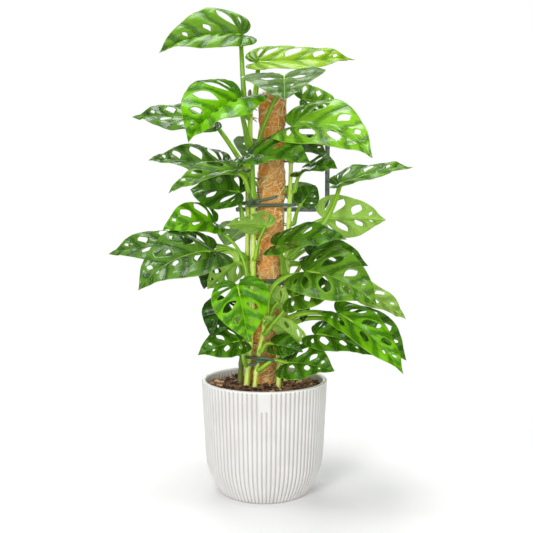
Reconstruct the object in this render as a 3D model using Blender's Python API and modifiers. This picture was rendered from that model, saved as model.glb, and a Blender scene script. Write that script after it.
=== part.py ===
"""Monstera adansonii trained up a coir pole in a white ribbed pot.

Lengths are in millimetres and meshes are made in metres. The origin is the centre of the pot's
foot, +Z is up and the plant is seen from -Y.
"""
import math
from dataclasses import dataclass

import bmesh
import bpy
import numpy as np
from mathutils import Vector, geometry

MM = 0.001
GAP = 0.35
CUT_PAST = 10.0
CUT_LAP = 1.0
FINE = 60
ROUND = 3
SHARP_ANGLE = math.radians(40.0)

POT_HEIGHT = 160.0
POT_OUTSIDE = ((90.0, 160.0), (90.0, 153.0), (85.3, 58.0), (78.0, 28.0), (62.5, 0.0))
POT_INSIDE = ((84.0, 160.0), (79.5, 56.0), (71.0, 26.0), (57.0, 6.0))
POT_RIBS = 78
RIB_DEPTH = 1.7
PLAIN_ROWS = 2
INSIDE_STEPS = 39
FIRST_REACH = 10.0

SOIL_STEPS = 24
SOIL_CLEARANCE = 0.9
SOIL_TOP = 151.0
SOIL_MOUND = 58.0
SOIL_DROP = 3.0
HOLE_CLEARANCE = 0.5
POLE_HOLE_CLEARANCE = 0.6
HOLE_PAST_TOP = 8.0
HOLE_PAST_FOOT = 4.0

POLE_AXIS = ((-9.0, 4.0, 30.0), (-3.0, 4.0, 158.0), (6.0, 4.0, 322.0), (10.0, 4.0, 450.0),
             (12.0, 4.0, 562.0))
COIR_RADIUS = 18.5
COIR_FOOT = 132.0
CORE_RADIUS = 7.0
CORE_FOOT = 40.0
CORE_TOP = 556.0
CORE_CLEARANCE = 0.5
BORE_PAST_TOP = 1.15
POLE_STOPS = (200.0, 270.0, 340.0, 410.0, 480.0)

ARM_RADIUS = 3.4
ARM = ((-42.0, 29.0, 404.0), (-20.0, 27.0, 404.0), (9.0, 26.8, 404.0), (50.0, 28.0, 404.0),
       (82.0, 28.0, 405.0), (90.0, 28.0, 412.0), (92.0, 28.0, 424.0), (92.0, 28.0, 502.0))
CANE_RADIUS = 2.6
CANE = ((-26.0, 22.0, 122.0), (-21.0, 19.0, 576.0))

TIE_RADIUS = 2.2
TIE_STEPS = 13
TIE_SLACK = 1.5

STEM_TOP_SHARE = 0.72
STEM_STEP = 45.0
STEM_CLEARANCE = 0.4

PETIOLE_RADIUS = 2.6
PETIOLE_END_SHARE = 0.7
PETIOLE_STEP = 34.0
PETIOLE_RUNS = (3, 4)
ROOT_OUT = 1.5
SEAT_AHEAD = 4.0
SEAT_UNDER = 6.0
SHOULDER_OUT = 7.0
SHOULDER_UP = 11.0
ROUTE_POINTS = 25
ROUTE_CLEARANCE = 1.2
ROUTE_ROUNDS = 90
ROUTE_PUSH = 0.5
ROUTE_EASE = 0.3

BLADE_THICKNESS = 0.8

HALF_OUTLINE = ((0.0, 0.0), (-0.085, 0.17), (-0.12, 0.44), (-0.06, 0.74), (0.10, 0.95), (0.30, 1.0),
                (0.50, 0.87), (0.68, 0.63), (0.83, 0.35), (0.93, 0.13), (1.0, 0.0))
EDGE_STOPS = (0.10, 0.22, 0.34, 0.46, 0.58, 0.70, 0.82, 0.92)
MIDRIB_STOPS = (0.18, 0.46, 0.74)
VEIN_REACH = 0.30
VEIN_SWEEP = 0.10
HOLE_SIDES = 3
EDGE_CURL = 0.6

HOLES = {
    "none": (),
    "few": ((0.50, 0.22, 0.72, 0.028), (0.64, 0.20, 0.70, 0.028)),
    "some": ((0.44, 0.28, 0.74, 0.026), (0.56, 0.18, 0.76, 0.034), (0.69, 0.16, 0.68, 0.028)),
    "many": ((0.40, 0.30, 0.76, 0.024), (0.50, 0.18, 0.80, 0.032), (0.61, 0.16, 0.80, 0.034),
             (0.73, 0.16, 0.72, 0.027)),
    "wide": ((0.43, 0.26, 0.78, 0.030), (0.55, 0.17, 0.82, 0.043), (0.68, 0.15, 0.78, 0.038)),
    "base": ((0.50, 0.22, 0.84, 0.036), (0.64, 0.12, 0.44, 0.016)),
    "slivers": ((0.46, 0.12, 0.50, 0.018), (0.57, 0.12, 0.52, 0.020), (0.68, 0.12, 0.48, 0.018)),
    "outer": ((0.52, 0.42, 0.80, 0.022), (0.66, 0.36, 0.78, 0.026)),
}


@dataclass(frozen=True)
class Stem:
    """A climbing stem: the points that it runs through and its thickness at the soil."""

    points: tuple
    radius: float = 3.6


@dataclass(frozen=True)
class Leaf:
    """A leaf: its blade's two ends, its width, the way its upper side looks, and its petiole."""

    name: str
    stem: str
    node: float
    base: tuple
    tip: tuple
    width: float
    face: tuple
    fold: float = 14.0
    droop: float = 30.0
    left: str = "some"
    right: str = "some"
    arch: float = 8.0
    sweep: float = 0.0
    via: tuple = ()


STEMS = {
    "stem_a": Stem(((-27, -17, 120), (-25, -18, 158), (-19, -19, 240), (-16, -17, 330),
                    (-16, -14, 400), (-18, -11, 460), (-20, -8, 510), (-19, -6, 560)), 3.9),
    "stem_b": Stem(((-36, 4, 120), (-35, 4, 158), (-29, 4, 240), (-25, 3, 330), (-24, 2, 400),
                    (-25, 4, 472)), 3.4),
    "stem_c": Stem(((19, -25, 120), (20, -23, 158), (24, -18, 240), (31, -12, 330), (35, -9, 400),
                    (37, -7, 450), (38, -5, 496)), 3.4),
    "stem_d": Stem(((31, 10, 120), (31, 11, 158), (31, 13, 240), (35, 14, 330), (37, 17, 400)), 3.2),
    "stem_e": Stem(((-14, -32, 120), (-13, -31, 158), (-8, -30, 200), (-1, -28, 236), (2, -27, 262)),
                   3.2),
    "stem_f": Stem(((2, 34, 120), (3, 33, 158), (8, 32, 240), (13, 33, 330), (17, 36, 405),
                    (18, 33, 480)), 3.2),
}

LEAVES = (
    Leaf("leaf_01", "stem_a", 532, (-32, -10, 645), (-144, -30, 616), 78, (0.0, -0.86, 0.5),
         fold=42, droop=30, left="slivers", right="base", arch=0, sweep=-6),
    Leaf("leaf_02", "stem_a", 546, (-10, 12, 612), (129, 14, 617), 72, (0.0, -0.66, 0.75),
         fold=20, droop=14, left="many", right="none", arch=0, sweep=-4),
    Leaf("leaf_03", "stem_a", 470, (27, -38, 582), (26, -116, 536), 112, (-0.1, -0.4, 1.0),
         fold=18, droop=20, left="few", right="few", arch=0, via=((-2, -33, 520),)),
    Leaf("leaf_04", "stem_a", 490, (-33, -38, 551), (-98, -92, 487), 112, (-0.3, -0.85, 0.42),
         fold=40, droop=34, left="slivers", right="many", arch=0, sweep=-5),
    Leaf("leaf_05", "stem_a", 448, (-72, 12, 531), (-195, 40, 540), 74, (0.0, -0.69, 0.72),
         fold=8, droop=16, left="some", right="some", arch=2),
    Leaf("leaf_06", "stem_b", 454, (-61, 10, 463), (-165, 0, 473), 76, (0.0, -0.6, 0.8),
         fold=30, droop=14, left="few", right="many", via=((-46, 6, 472),)),
    Leaf("leaf_07", "stem_a", 425, (-36, -34, 456), (-128, -64, 423), 70, (0.0, -0.4, 0.92),
         fold=22, droop=30, left="few", right="some"),
    Leaf("leaf_08", "stem_b", 380, (-34, -7, 427), (-111, 48, 434), 72, (0.0, -0.85, 0.5),
         fold=10, droop=20, left="few", right="few"),
    Leaf("leaf_09", "stem_a", 410, (-18, -46, 474), (60, -98, 459), 82, (0.0, -0.62, 0.78),
         fold=26, droop=28, left="few", right="few"),
    Leaf("leaf_10", "stem_c", 470, (39, -38, 514), (142, -80, 468), 94, (0.15, -0.86, 0.5),
         fold=28, droop=30, left="outer", right="wide", sweep=14),
    Leaf("leaf_11", "stem_c", 488, (53, 8, 560), (112, 50, 552), 74, (0.0, -0.8, 0.6),
         fold=10, left="few", right="few"),
    Leaf("leaf_12", "stem_f", 470, (42, 26, 503), (90, 6, 478), 50, (0.0, -0.6, 0.8),
         left="few", right="none"),
    Leaf("leaf_13", "stem_c", 425, (53, -8, 459), (98, -60, 456), 56, (0.0, -0.7, 0.7),
         left="few", right="none"),
    Leaf("leaf_14", "stem_c", 330, (105, -10, 438), (207, -22, 461), 62, (0.0, -0.42, 0.9),
         fold=24, droop=16, left="few", right="few", via=((84, -32, 378), (100, -25, 408))),
    Leaf("leaf_15", "stem_d", 350, (87, 22, 391), (172, -10, 388), 74, (0.0, 0.85, 0.5),
         fold=8, droop=16, left="some", right="wide"),
    Leaf("leaf_16", "stem_d", 380, (55, 14, 413), (75, 30, 439), 38, (0.2, -0.9, 0.5),
         left="none", right="few"),
    Leaf("leaf_17", "stem_a", 330, (2, -36, 378), (-51, -76, 380), 54, (0.0, 0.6, 0.8),
         left="few", right="none"),
    Leaf("leaf_18", "stem_a", 268, (-72, 2, 384), (-142, -26, 373), 68, (0.0, -0.7, 0.7),
         fold=24, droop=60, left="few", right="wide",
         via=((-17, -33, 305), (-24, -34, 342), (-48, -16, 366))),
    Leaf("leaf_19", "stem_b", 312, (-72, -40, 345), (-165, -88, 295), 98, (-0.2, -0.75, 0.6),
         fold=14, droop=36, left="slivers", right="wide", sweep=-10, via=((-40, -4, 345), (-58, -18, 352))),
    Leaf("leaf_20", "stem_b", 330, (-115, 16, 353), (-231, 34, 338), 78, (0.0, -0.6, 0.8),
         fold=12, droop=22, left="few", right="some"),
    Leaf("leaf_21", "stem_b", 250, (-65, 0, 335), (-86, -14, 290), 52, (-0.3, -0.9, 0.3),
         left="few", right="none"),
    Leaf("leaf_22", "stem_a", 309, (-37, -24, 329), (-79, -34, 292), 52, (-0.3, 0.8, 0.3),
         left="wide", right="few"),
    Leaf("leaf_23", "stem_a", 215, (-35, -80, 301), (-20, -106, 231), 76, (0.0, -1.0, 0.3),
         fold=10, droop=20, left="few", right="many"),
    Leaf("leaf_24", "stem_b", 215, (-52, -43, 275), (-71, -62, 228), 56, (-0.4, -0.85, 0.3),
         left="few", right="none"),
    Leaf("leaf_25", "stem_a", 180, (-32, -42, 221), (-89, -72, 207), 56, (0.0, -0.7, 0.7),
         left="few", right="few"),
    Leaf("leaf_26", "stem_e", 240, (22, -42, 274), (-16, -46, 298), 38, (0.0, 0.7, 0.5),
         left="few", right="none"),
    Leaf("leaf_27", "stem_e", 225, (37, -52, 283), (99, -84, 292), 68, (0.0, -0.75, 0.65),
         left="few", right="few", via=((16, -50, 249), (27, -57, 266))),
    Leaf("leaf_28", "stem_c", 310, (16, -44, 352), (108, -86, 362), 80, (0.0, -0.5, 0.86),
         fold=16, droop=26, left="few", right="few"),
    Leaf("leaf_29", "stem_d", 290, (66, 14, 338), (147, -12, 323), 70, (0.0, -0.6, 0.8),
         left="few", right="few"),
    Leaf("leaf_30", "stem_e", 250, (54, -70, 319), (143, -118, 278), 96, (0.2, -0.8, 0.58),
         fold=12, droop=34, left="some", right="many", sweep=6,
         via=((0, -44, 272), (6, -52, 300), (24, -62, 318))),
    Leaf("leaf_31", "stem_d", 320, (130, 34, 288), (206, 12, 244), 56, (0.2, -0.6, 0.8),
         left="few", right="few"),
    Leaf("leaf_32", "stem_d", 230, (109, -12, 246), (195, -50, 195), 84, (0.5, -0.7, 0.5),
         left="wide", right="none", sweep=6),
    Leaf("leaf_33", "stem_c", 240, (99, -66, 262), (178, -116, 190), 60, (0.3, -0.8, 0.5),
         fold=18, droop=30, left="many", right="few", sweep=4),
    Leaf("leaf_34", "stem_d", 200, (70, -46, 231), (143, -92, 210), 60, (0.1, -0.75, 0.65),
         left="few", right="some", sweep=3, via=((46, -22, 218),)),
    Leaf("leaf_35", "stem_c", 215, (56, -14, 269), (54, -18, 243), 18, (0.0, -1.0, 0.2),
         left="none", right="none"),
    Leaf("leaf_36", "stem_c", 190, (48, -34, 219), (-3, -46, 257), 34, (0.0, 0.7, 0.5),
         left="few", right="none"),
    Leaf("leaf_37", "stem_e", 175, (33, -52, 192), (92, -98, 190), 68, (0.0, -0.7, 0.7),
         fold=16, left="some", right="some"),
    Leaf("leaf_38", "stem_e", 202, (12, -44, 216), (53, -58, 208), 38, (0.0, -0.7, 0.7),
         left="none", right="few"),
    Leaf("leaf_39", "stem_f", 440, (-4, 62, 505), (-28, 150, 480), 78, (0.0, 0.6, 0.8),
         left="few", right="none"),
    Leaf("leaf_40", "stem_f", 380, (34, 70, 440), (66, 158, 405), 76, (0.2, 0.6, 0.8),
         left="few", right="none"),
    Leaf("leaf_41", "stem_f", 320, (-24, 66, 380), (-66, 150, 345), 80, (-0.2, 0.6, 0.8),
         left="few", right="none"),
    Leaf("leaf_42", "stem_f", 260, (28, 72, 300), (64, 158, 262), 78, (0.2, 0.6, 0.8),
         left="few", right="none"),
    Leaf("leaf_43", "stem_f", 200, (-22, 66, 240), (-58, 146, 208), 70, (-0.2, 0.6, 0.8),
         left="few", right="none"),
    Leaf("leaf_44", "stem_f", 410, (-40, 62, 462), (-104, 124, 436), 74, (-0.3, 0.5, 0.8),
         left="few", right="none"),
    Leaf("leaf_45", "stem_f", 290, (66, 60, 350), (122, 130, 322), 74, (0.3, 0.5, 0.8),
         left="few", right="none"),
)


def spread(points, count):
    """Points spread evenly along a smooth curve through the given ones."""
    given = np.array(points, dtype=float)
    padded = np.vstack([2 * given[0] - given[1], given, 2 * given[-1] - given[-2]])
    fine = []
    for i in range(len(given) - 1):
        before, start, end, after = padded[i:i + 4]
        for t in np.linspace(0.0, 1.0, 16, endpoint=False):
            fine.append(0.5 * (2 * start + (end - before) * t
                               + (2 * before - 5 * start + 4 * end - after) * t ** 2
                               + (3 * start - before - 3 * end + after) * t ** 3))
    fine = np.array(fine + [given[-1]])
    along = np.concatenate([[0.0], np.cumsum(np.linalg.norm(np.diff(fine, axis=0), axis=1))])
    stops = np.linspace(0.0, along[-1], count)
    return np.column_stack([np.interp(stops, along, fine[:, k]) for k in range(3)])


def at_height(points, height):
    """The point of a rising line at one height."""
    line = np.array(points, dtype=float)
    return np.array([np.interp(height, line[:, 2], line[:, k]) for k in range(3)])


def pole_centre(height):
    """The middle of the pole at one height."""
    return at_height(spread(POLE_AXIS, FINE), height)


def blade_axes(leaf):
    """The directions of a blade: to its tip, to its left side, and up from its upper side."""
    ahead = np.subtract(leaf.tip, leaf.base).astype(float)
    chord = np.linalg.norm(ahead)
    ahead /= chord
    up = np.array(leaf.face, dtype=float)
    up -= up.dot(ahead) * ahead
    up /= np.linalg.norm(up)
    return ahead, np.cross(up, ahead), up, chord


def petiole_start(leaf):
    """A petiole's course before it is bent clear: out of its stem, up and in under its blade."""
    root = at_height(spread(STEMS[leaf.stem].points, FINE), leaf.node)
    ahead, _, up, _ = blade_axes(leaf)
    slope = 0.5 * math.radians(leaf.droop)
    ahead, up = (ahead * math.cos(slope) + up * math.sin(slope),
                 up * math.cos(slope) - ahead * math.sin(slope))
    seat = np.array(leaf.base, dtype=float) + SEAT_AHEAD * ahead
    away = seat - root
    away[2] = 0.0
    away /= max(np.linalg.norm(away), 1.0)
    shoulder = root + SHOULDER_OUT * away + np.array([0.0, 0.0, SHOULDER_UP])
    middle = leaf.via or (0.5 * (shoulder + seat) + np.array([0.0, 0.0, leaf.arch]),)
    below = seat - SEAT_UNDER * (up + ahead)
    return spread([root, shoulder, *middle, below, seat], ROUTE_POINTS)


def push_off(points, starts, ends, reach):
    """How far each point has to move to lie at least its reach away from every segment."""
    along = ends - starts
    share = ((points[:, None] - starts) * along).sum(2) / np.maximum((along ** 2).sum(1), 1e-9)
    off = points[:, None] - (starts + np.clip(share, 0.0, 1.0)[..., None] * along)
    far = np.maximum(np.linalg.norm(off, axis=2), 1e-6)
    short = np.maximum(reach - far, 0.0)
    return (off / far[..., None] * short[..., None]).sum(1)


def clear_routes(leaves, fixed):
    """Bend the petioles clear of the pole, the stems, the ties and each other.

    fixed holds (points, radius) for each thing that a petiole has to pass.
    """
    routes = np.array([petiole_start(leaf) for leaf in leaves])
    starts = np.vstack([np.array(line)[:-1] for line, _ in fixed])
    ends = np.vstack([np.array(line)[1:] for line, _ in fixed])
    radii = np.concatenate([[radius] * (len(line) - 1) for line, radius in fixed])
    inner = slice(2, ROUTE_POINTS - 2)
    count = ROUTE_POINTS - 4
    owner = np.repeat(np.arange(len(leaves)), count)
    for _ in range(ROUTE_ROUNDS):
        points = routes[:, inner].reshape(-1, 3)
        push = push_off(points, starts, ends, radii + PETIOLE_RADIUS + ROUTE_CLEARANCE)
        others = routes[:, :-1:2].reshape(-1, 3), routes[:, 2::2].reshape(-1, 3)
        other_owner = np.repeat(np.arange(len(leaves)), len(others[0]) // len(leaves))
        reach = np.where(owner[:, None] == other_owner, 0.0, 2.0 * PETIOLE_RADIUS + ROUTE_CLEARANCE)
        push += ROUTE_PUSH * push_off(points, *others, reach)
        routes[:, inner] += ROUTE_PUSH * push.reshape(len(leaves), count, 3)
        middle = 0.5 * (routes[:, 1:-3] + routes[:, 3:-1])
        routes[:, inner] += ROUTE_EASE * (middle - routes[:, inner])
    return dict(zip((leaf.name for leaf in leaves), routes))


def outline_point(stop):
    """A point of the unit blade's edge, from the petiole at 0 to the tip at 1."""
    place = stop * (len(HALF_OUTLINE) - 1)
    i = min(int(place), len(HALF_OUTLINE) - 2)
    t = place - i
    row = [np.array(HALF_OUTLINE[min(max(k, 0), len(HALF_OUTLINE) - 1)]) for k in range(i - 1, i + 3)]
    if i == 0:
        row[0] = np.array((0.04, -0.14))
    if i == len(HALF_OUTLINE) - 2:
        row[3] = np.array((1.03, -0.06))
    return 0.5 * (2 * row[1] + (row[2] - row[0]) * t
                  + (2 * row[0] - 5 * row[1] + 4 * row[2] - row[3]) * t ** 2
                  + (3 * row[1] - row[0] - 3 * row[2] + row[3]) * t ** 3)


def vein_point(stop, reach):
    """A point of the unit half blade, reach of the way out along the side vein to the edge."""
    x, y = outline_point(stop)
    root = max(0.0, x - VEIN_REACH * y)
    return root + reach * (x - root) - VEIN_SWEEP * y * reach * (1.0 - reach), reach * y


def hole_ring(stop, near, far, half):
    """The edge of one hole between two side veins, as (stop, reach) pairs."""
    share = [k / HOLE_SIDES for k in range(HOLE_SIDES + 1)]
    width = [half * math.sin(math.pi * (0.06 + 0.88 * t)) ** 0.8 for t in share]
    reach = [near + t * (far - near) for t in share]
    there = [(stop + w, r) for w, r in zip(width[1:-1], reach[1:-1])]
    back = [(stop - w, r) for w, r in zip(width[1:-1], reach[1:-1])][::-1]
    return [(stop, near), *there, (stop, far), *back]


def flat_blade(leaf):
    """The flat unit blade as points and triangles, with its holes open."""
    points = [(0.0, 0.0), (1.0, 0.0)]
    loops = []
    edges = []

    def add(side, ring):
        first = len(points)
        for stop, reach in ring:
            x, y = vein_point(stop, reach)
            points.append((x, side * y))
        return list(range(first, len(points)))

    left = add(1, [(stop, 1.0) for stop in EDGE_STOPS])
    right = add(-1, [(stop, 1.0) for stop in EDGE_STOPS])
    rim = [0, *right, 1, *left[::-1]]
    first = len(points)
    points.extend((x, 0.0) for x in MIDRIB_STOPS)
    rib = [0, *range(first, len(points)), 1]
    for side, pattern in ((1, leaf.left), (-1, leaf.right)):
        for hole in HOLES[pattern]:
            loops.append(add(side, hole_ring(*hole)))
    for loop in loops:
        edges.extend(zip(loop, loop[1:] + loop[:1]))
    edges.extend(zip(rib, rib[1:]))
    flat = [Vector(p) for p in points]
    _, _, faces, _, _, _ = geometry.delaunay_2d_cdt(flat, edges, [rim], 1, 1e-7)
    rings = [set(loop) for loop in loops]
    kept = []
    for face in faces:
        middle = sum((flat[i] for i in face), Vector((0.0, 0.0))) / 3.0
        inside = any(set(face) <= ring and within(middle, [flat[i] for i in loop])
                     for ring, loop in zip(rings, loops))
        if not inside:
            kept.append(tuple(face))
    return points, kept


def within(point, ring):
    """Whether a point lies inside a closed ring."""
    inside = False
    for a, b in zip(ring, ring[1:] + ring[:1]):
        if (a.y > point.y) != (b.y > point.y):
            if point.x < a.x + (point.y - a.y) / (b.y - a.y) * (b.x - a.x):
                inside = not inside
    return inside


def bend_blade(leaf, flat):
    """Place points of the unit blade in space: folded at the midrib, drooping to its tip."""
    ahead, left, up, chord = blade_axes(leaf)
    bend = math.radians(max(leaf.droop, 1.0))
    length = chord * 0.5 * bend / math.sin(0.5 * bend)
    placed = []
    for x, y in flat:
        out = abs(y) * 0.5 * leaf.width
        rise = math.radians(leaf.fold) * (1.0 - EDGE_CURL * abs(y))
        across = math.copysign(out * math.cos(rise), y) + leaf.sweep * 4.0 * x * (1.0 - x)
        lift = out * math.sin(rise)
        slope = bend * (0.5 - x)
        along = length / bend * (math.sin(0.5 * bend) - math.sin(slope)) - lift * math.sin(slope)
        high = length / bend * (math.cos(slope) - math.cos(0.5 * bend)) + lift * math.cos(slope)
        placed.append(np.array(leaf.base) + along * ahead + across * left + high * up)
    return placed


def material(name, colour, roughness):
    """A plain Principled material."""
    made = bpy.data.materials.new(name)
    made.use_nodes = True
    shader = made.node_tree.nodes["Principled BSDF"]
    shader.inputs["Base Color"].default_value = (*colour, 1.0)
    shader.inputs["Roughness"].default_value = roughness
    return made


def mesh_object(name, points, faces, edges=()):
    """A mesh object from points in millimetres, in the scene."""
    mesh = bpy.data.meshes.new(name)
    mesh.from_pydata([tuple(float(v) * MM for v in p) for p in points], list(edges), list(faces))
    made = bpy.data.objects.new(name, mesh)
    bpy.context.scene.collection.objects.link(made)
    return made


def settle(obj, name=None):
    """Apply an object's modifiers, weld what they left and keep its largest body."""
    graph = bpy.context.evaluated_depsgraph_get()
    mesh = bpy.data.meshes.new_from_object(obj.evaluated_get(graph))
    name = name or obj.name
    matrix = obj.matrix_world.copy()
    bpy.data.objects.remove(obj)
    work = bmesh.new()
    work.from_mesh(mesh)
    bmesh.ops.remove_doubles(work, verts=work.verts, dist=2e-6)
    bmesh.ops.triangulate(work, faces=work.faces)
    bodies = []
    left = set(work.verts)
    while left:
        body, queue = set(), [left.pop()]
        while queue:
            vert = queue.pop()
            body.add(vert)
            for edge in vert.link_edges:
                other = edge.other_vert(vert)
                if other in left:
                    left.discard(other)
                    queue.append(other)
        bodies.append(body)
    bodies.sort(key=len)
    loose = [vert for body in bodies[:-1] for vert in body]
    bmesh.ops.delete(work, geom=loose, context="VERTS")
    work.to_mesh(mesh)
    work.free()
    mesh.shade_smooth()
    mesh.set_sharp_from_angle(angle=SHARP_ANGLE)
    mesh.name = name
    made = bpy.data.objects.new(name, mesh)
    made.matrix_world = matrix
    bpy.context.scene.collection.objects.link(made)
    return made


def tube(name, points, radii, resolution=1):
    """A solid round bar along points in millimetres, its ends closed."""
    curve = bpy.data.curves.new(name, "CURVE")
    curve.dimensions = "3D"
    curve.fill_mode = "FULL"
    curve.bevel_depth = MM
    curve.bevel_resolution = resolution
    curve.use_fill_caps = True
    line = curve.splines.new("POLY")
    line.points.add(len(points) - 1)
    for spot, place, radius in zip(line.points, points, radii):
        spot.co = (*(float(v) * MM for v in place), 1.0)
        spot.radius = radius
    made = bpy.data.objects.new(name, curve)
    bpy.context.scene.collection.objects.link(made)
    return settle(made)


def combine(obj, other, operation):
    """Join or cut an object with another, which is used up."""
    cut = obj.modifiers.new(operation.title(), "BOOLEAN")
    cut.operation = operation
    cut.object = other
    made = settle(obj)
    bpy.data.objects.remove(other)
    return made


def turned(name, profile, steps):
    """A solid turned from a half profile that runs down its outer side."""
    edges = [(i, i + 1) for i in range(len(profile) - 1)]
    made = mesh_object(name, [(r, 0.0, z) for r, z in profile], (), edges)
    screw = made.modifiers.new("Turn", "SCREW")
    screw.steps = steps
    screw.render_steps = steps
    screw.use_merge_vertices = True
    screw.merge_threshold = 1e-5
    return settle(made)


def stem_radii(stem, count):
    """A stem's radius at evenly spread points, thinner towards its top."""
    return np.linspace(stem.radius, stem.radius * STEM_TOP_SHARE, count)


def stem_route(stem):
    """A stem's points, about one to each STEM_STEP."""
    length = np.linalg.norm(np.diff(np.array(stem.points, dtype=float), axis=0), axis=1).sum()
    return spread(stem.points, max(5, round(length / STEM_STEP)))


def tie_route(low, high, around, start, tails):
    """A soft wire wound once round a bundle, with its two free ends.

    around holds (centre, radius) circles, start is the angle where the wire crosses itself.
    """
    route = []
    for k in range(TIE_STEPS + 1):
        angle = math.radians(start + 360.0 * k / TIE_STEPS)
        way = np.array([math.cos(angle), math.sin(angle)])
        reach = [way.dot(centre[:2]) + radius for centre, radius in around]
        centre, radius = around[int(np.argmax(reach))]
        out = radius + TIE_RADIUS + TIE_SLACK
        route.append((*(np.array(centre[:2]) + out * way), low + (high - low) * k / TIE_STEPS))
    return [*tails[0], *route, *tails[1]]


def bundle(height, stems):
    """The pole's and the stems' circles at one height."""
    circles = [(pole_centre(height), COIR_RADIUS)]
    for name in stems:
        stem = STEMS[name]
        circles.append((at_height(spread(stem.points, FINE), height), stem.radius))
    return circles


def ties():
    """The courses of the soft ties."""
    return {
        "tie_1": tie_route(191, 196, bundle(192, ("stem_a", "stem_b", "stem_c", "stem_e")), 255,
                           (((-22, -46, 188), (-14, -42, 188)), ((6, -46, 197), (14, -46, 192)))),
        "tie_2": tie_route(408, 413, bundle(410, ("stem_a", "stem_b", "stem_c")), 235,
                           (((-21, -36, 421), (-17, -34, 414)), ((2, -32, 416), (18, -34, 420)))),
        "tie_3": tie_route(298, 303, bundle(300, ("stem_a", "stem_b", "stem_c")), 300,
                           (((2, -37, 304), (10, -36, 301)), ((24, -36, 302), (28, -38, 308)))),
    }


def fixed_lines():
    """Everything that a petiole is bent clear of, as (points, radius)."""
    lines = [(spread(POLE_AXIS, ROUTE_POINTS), COIR_RADIUS)]
    lines += [(spread(stem.points, ROUTE_POINTS), stem.radius) for stem in STEMS.values()]
    lines += [(np.array(route, dtype=float), TIE_RADIUS) for route in ties().values()]
    lines += [(np.array(ARM, dtype=float), ARM_RADIUS), (np.array(CANE, dtype=float), CANE_RADIUS)]
    return lines


def build_pot(finish):
    """The ribbed pot: a turned outside with its grooves pushed in, hollowed by a turned plug."""
    columns = 2 * POT_RIBS
    pot = turned("pot", [(0.0, POT_HEIGHT), *POT_OUTSIDE, (0.0, 0.0)], columns)
    row_top = POT_OUTSIDE[PLAIN_ROWS - 1][1] * MM
    for vert in pot.data.vertices:
        reach = math.hypot(vert.co.x, vert.co.y)
        column = round(math.atan2(vert.co.y, vert.co.x) / (2 * math.pi) * columns)
        if column % 2 and reach > FIRST_REACH * MM and vert.co.z < row_top - 1e-5:
            scale = 1.0 - RIB_DEPTH * MM / reach
            vert.co.x *= scale
            vert.co.y *= scale
    mouth, rim = POT_INSIDE[0]
    above = rim + CUT_PAST
    plug = turned("plug", [(0.0, above), (mouth + GAP, above), *POT_INSIDE, (0.0, POT_INSIDE[-1][1])],
                  INSIDE_STEPS)
    pot = combine(pot, plug, "DIFFERENCE")
    pot.data.materials.append(finish)
    return pot


def build_soil(finish):
    """The soil, level with a low mound, with a plain hole for each thing that stands in it."""
    brim = SOIL_TOP - SOIL_DROP
    inside = POT_INSIDE[::-1]
    edge = np.interp(brim, [z for _, z in inside], [r for r, _ in inside])
    foot, floor = POT_INSIDE[-1]
    profile = [(0.0, SOIL_TOP), (SOIL_MOUND, SOIL_TOP), (edge - SOIL_CLEARANCE, brim)]
    profile += [(r - SOIL_CLEARANCE, z) for r, z in POT_INSIDE[1:-1]]
    profile += [(foot - SOIL_CLEARANCE, floor + GAP), (0.0, floor + GAP)]
    soil = turned("soil", profile, SOIL_STEPS)
    above = SOIL_TOP + HOLE_PAST_TOP
    holes = [(stem.points, stem.radius) for stem in STEMS.values()] + [(CANE, CANE_RADIUS)]
    for points, radius in holes:
        ends = np.subtract(points[0], (0.0, 0.0, HOLE_PAST_FOOT)), at_height(points, above)
        soil = combine(soil, tube("hole", ends, (radius + HOLE_CLEARANCE,) * 2), "DIFFERENCE")
    line = [pole_centre(z) for z in (COIR_FOOT - CUT_LAP, above)]
    wide = tube("hole", line, (COIR_RADIUS + POLE_HOLE_CLEARANCE,) * 2, ROUND)
    soil = combine(soil, wide, "DIFFERENCE")
    line = [pole_centre(z) for z in (CORE_FOOT - CUT_LAP, COIR_FOOT + CUT_LAP)]
    narrow = tube("hole", line, (CORE_RADIUS + POLE_HOLE_CLEARANCE,) * 2)
    soil = combine(soil, narrow, "DIFFERENCE")
    soil.data.materials.append(finish)
    return soil


def build_pole(coir, wood):
    """The coir sleeve and the stake inside it, both along the pole's slight bow."""
    line = [pole_centre(z) for z in (COIR_FOOT, *POLE_STOPS, POLE_AXIS[-1][2])]
    sleeve = tube("coir_sleeve", line, [COIR_RADIUS] * len(line), ROUND)
    line = [pole_centre(z) for z in (COIR_FOOT - CUT_PAST, *POLE_STOPS)]
    past_top = line[-1] + BORE_PAST_TOP * (np.array(POLE_AXIS[-1]) - line[-1])
    bore = tube("bore", [*line, past_top], [CORE_RADIUS + CORE_CLEARANCE] * (len(line) + 1))
    sleeve = combine(sleeve, bore, "DIFFERENCE")
    sleeve.data.materials.append(coir)
    line = [pole_centre(z) for z in (CORE_FOOT, COIR_FOOT, *POLE_STOPS, CORE_TOP)]
    core = tube("pole_core", line, [CORE_RADIUS] * len(line))
    core.data.materials.append(wood)
    return [sleeve, core]


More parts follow.
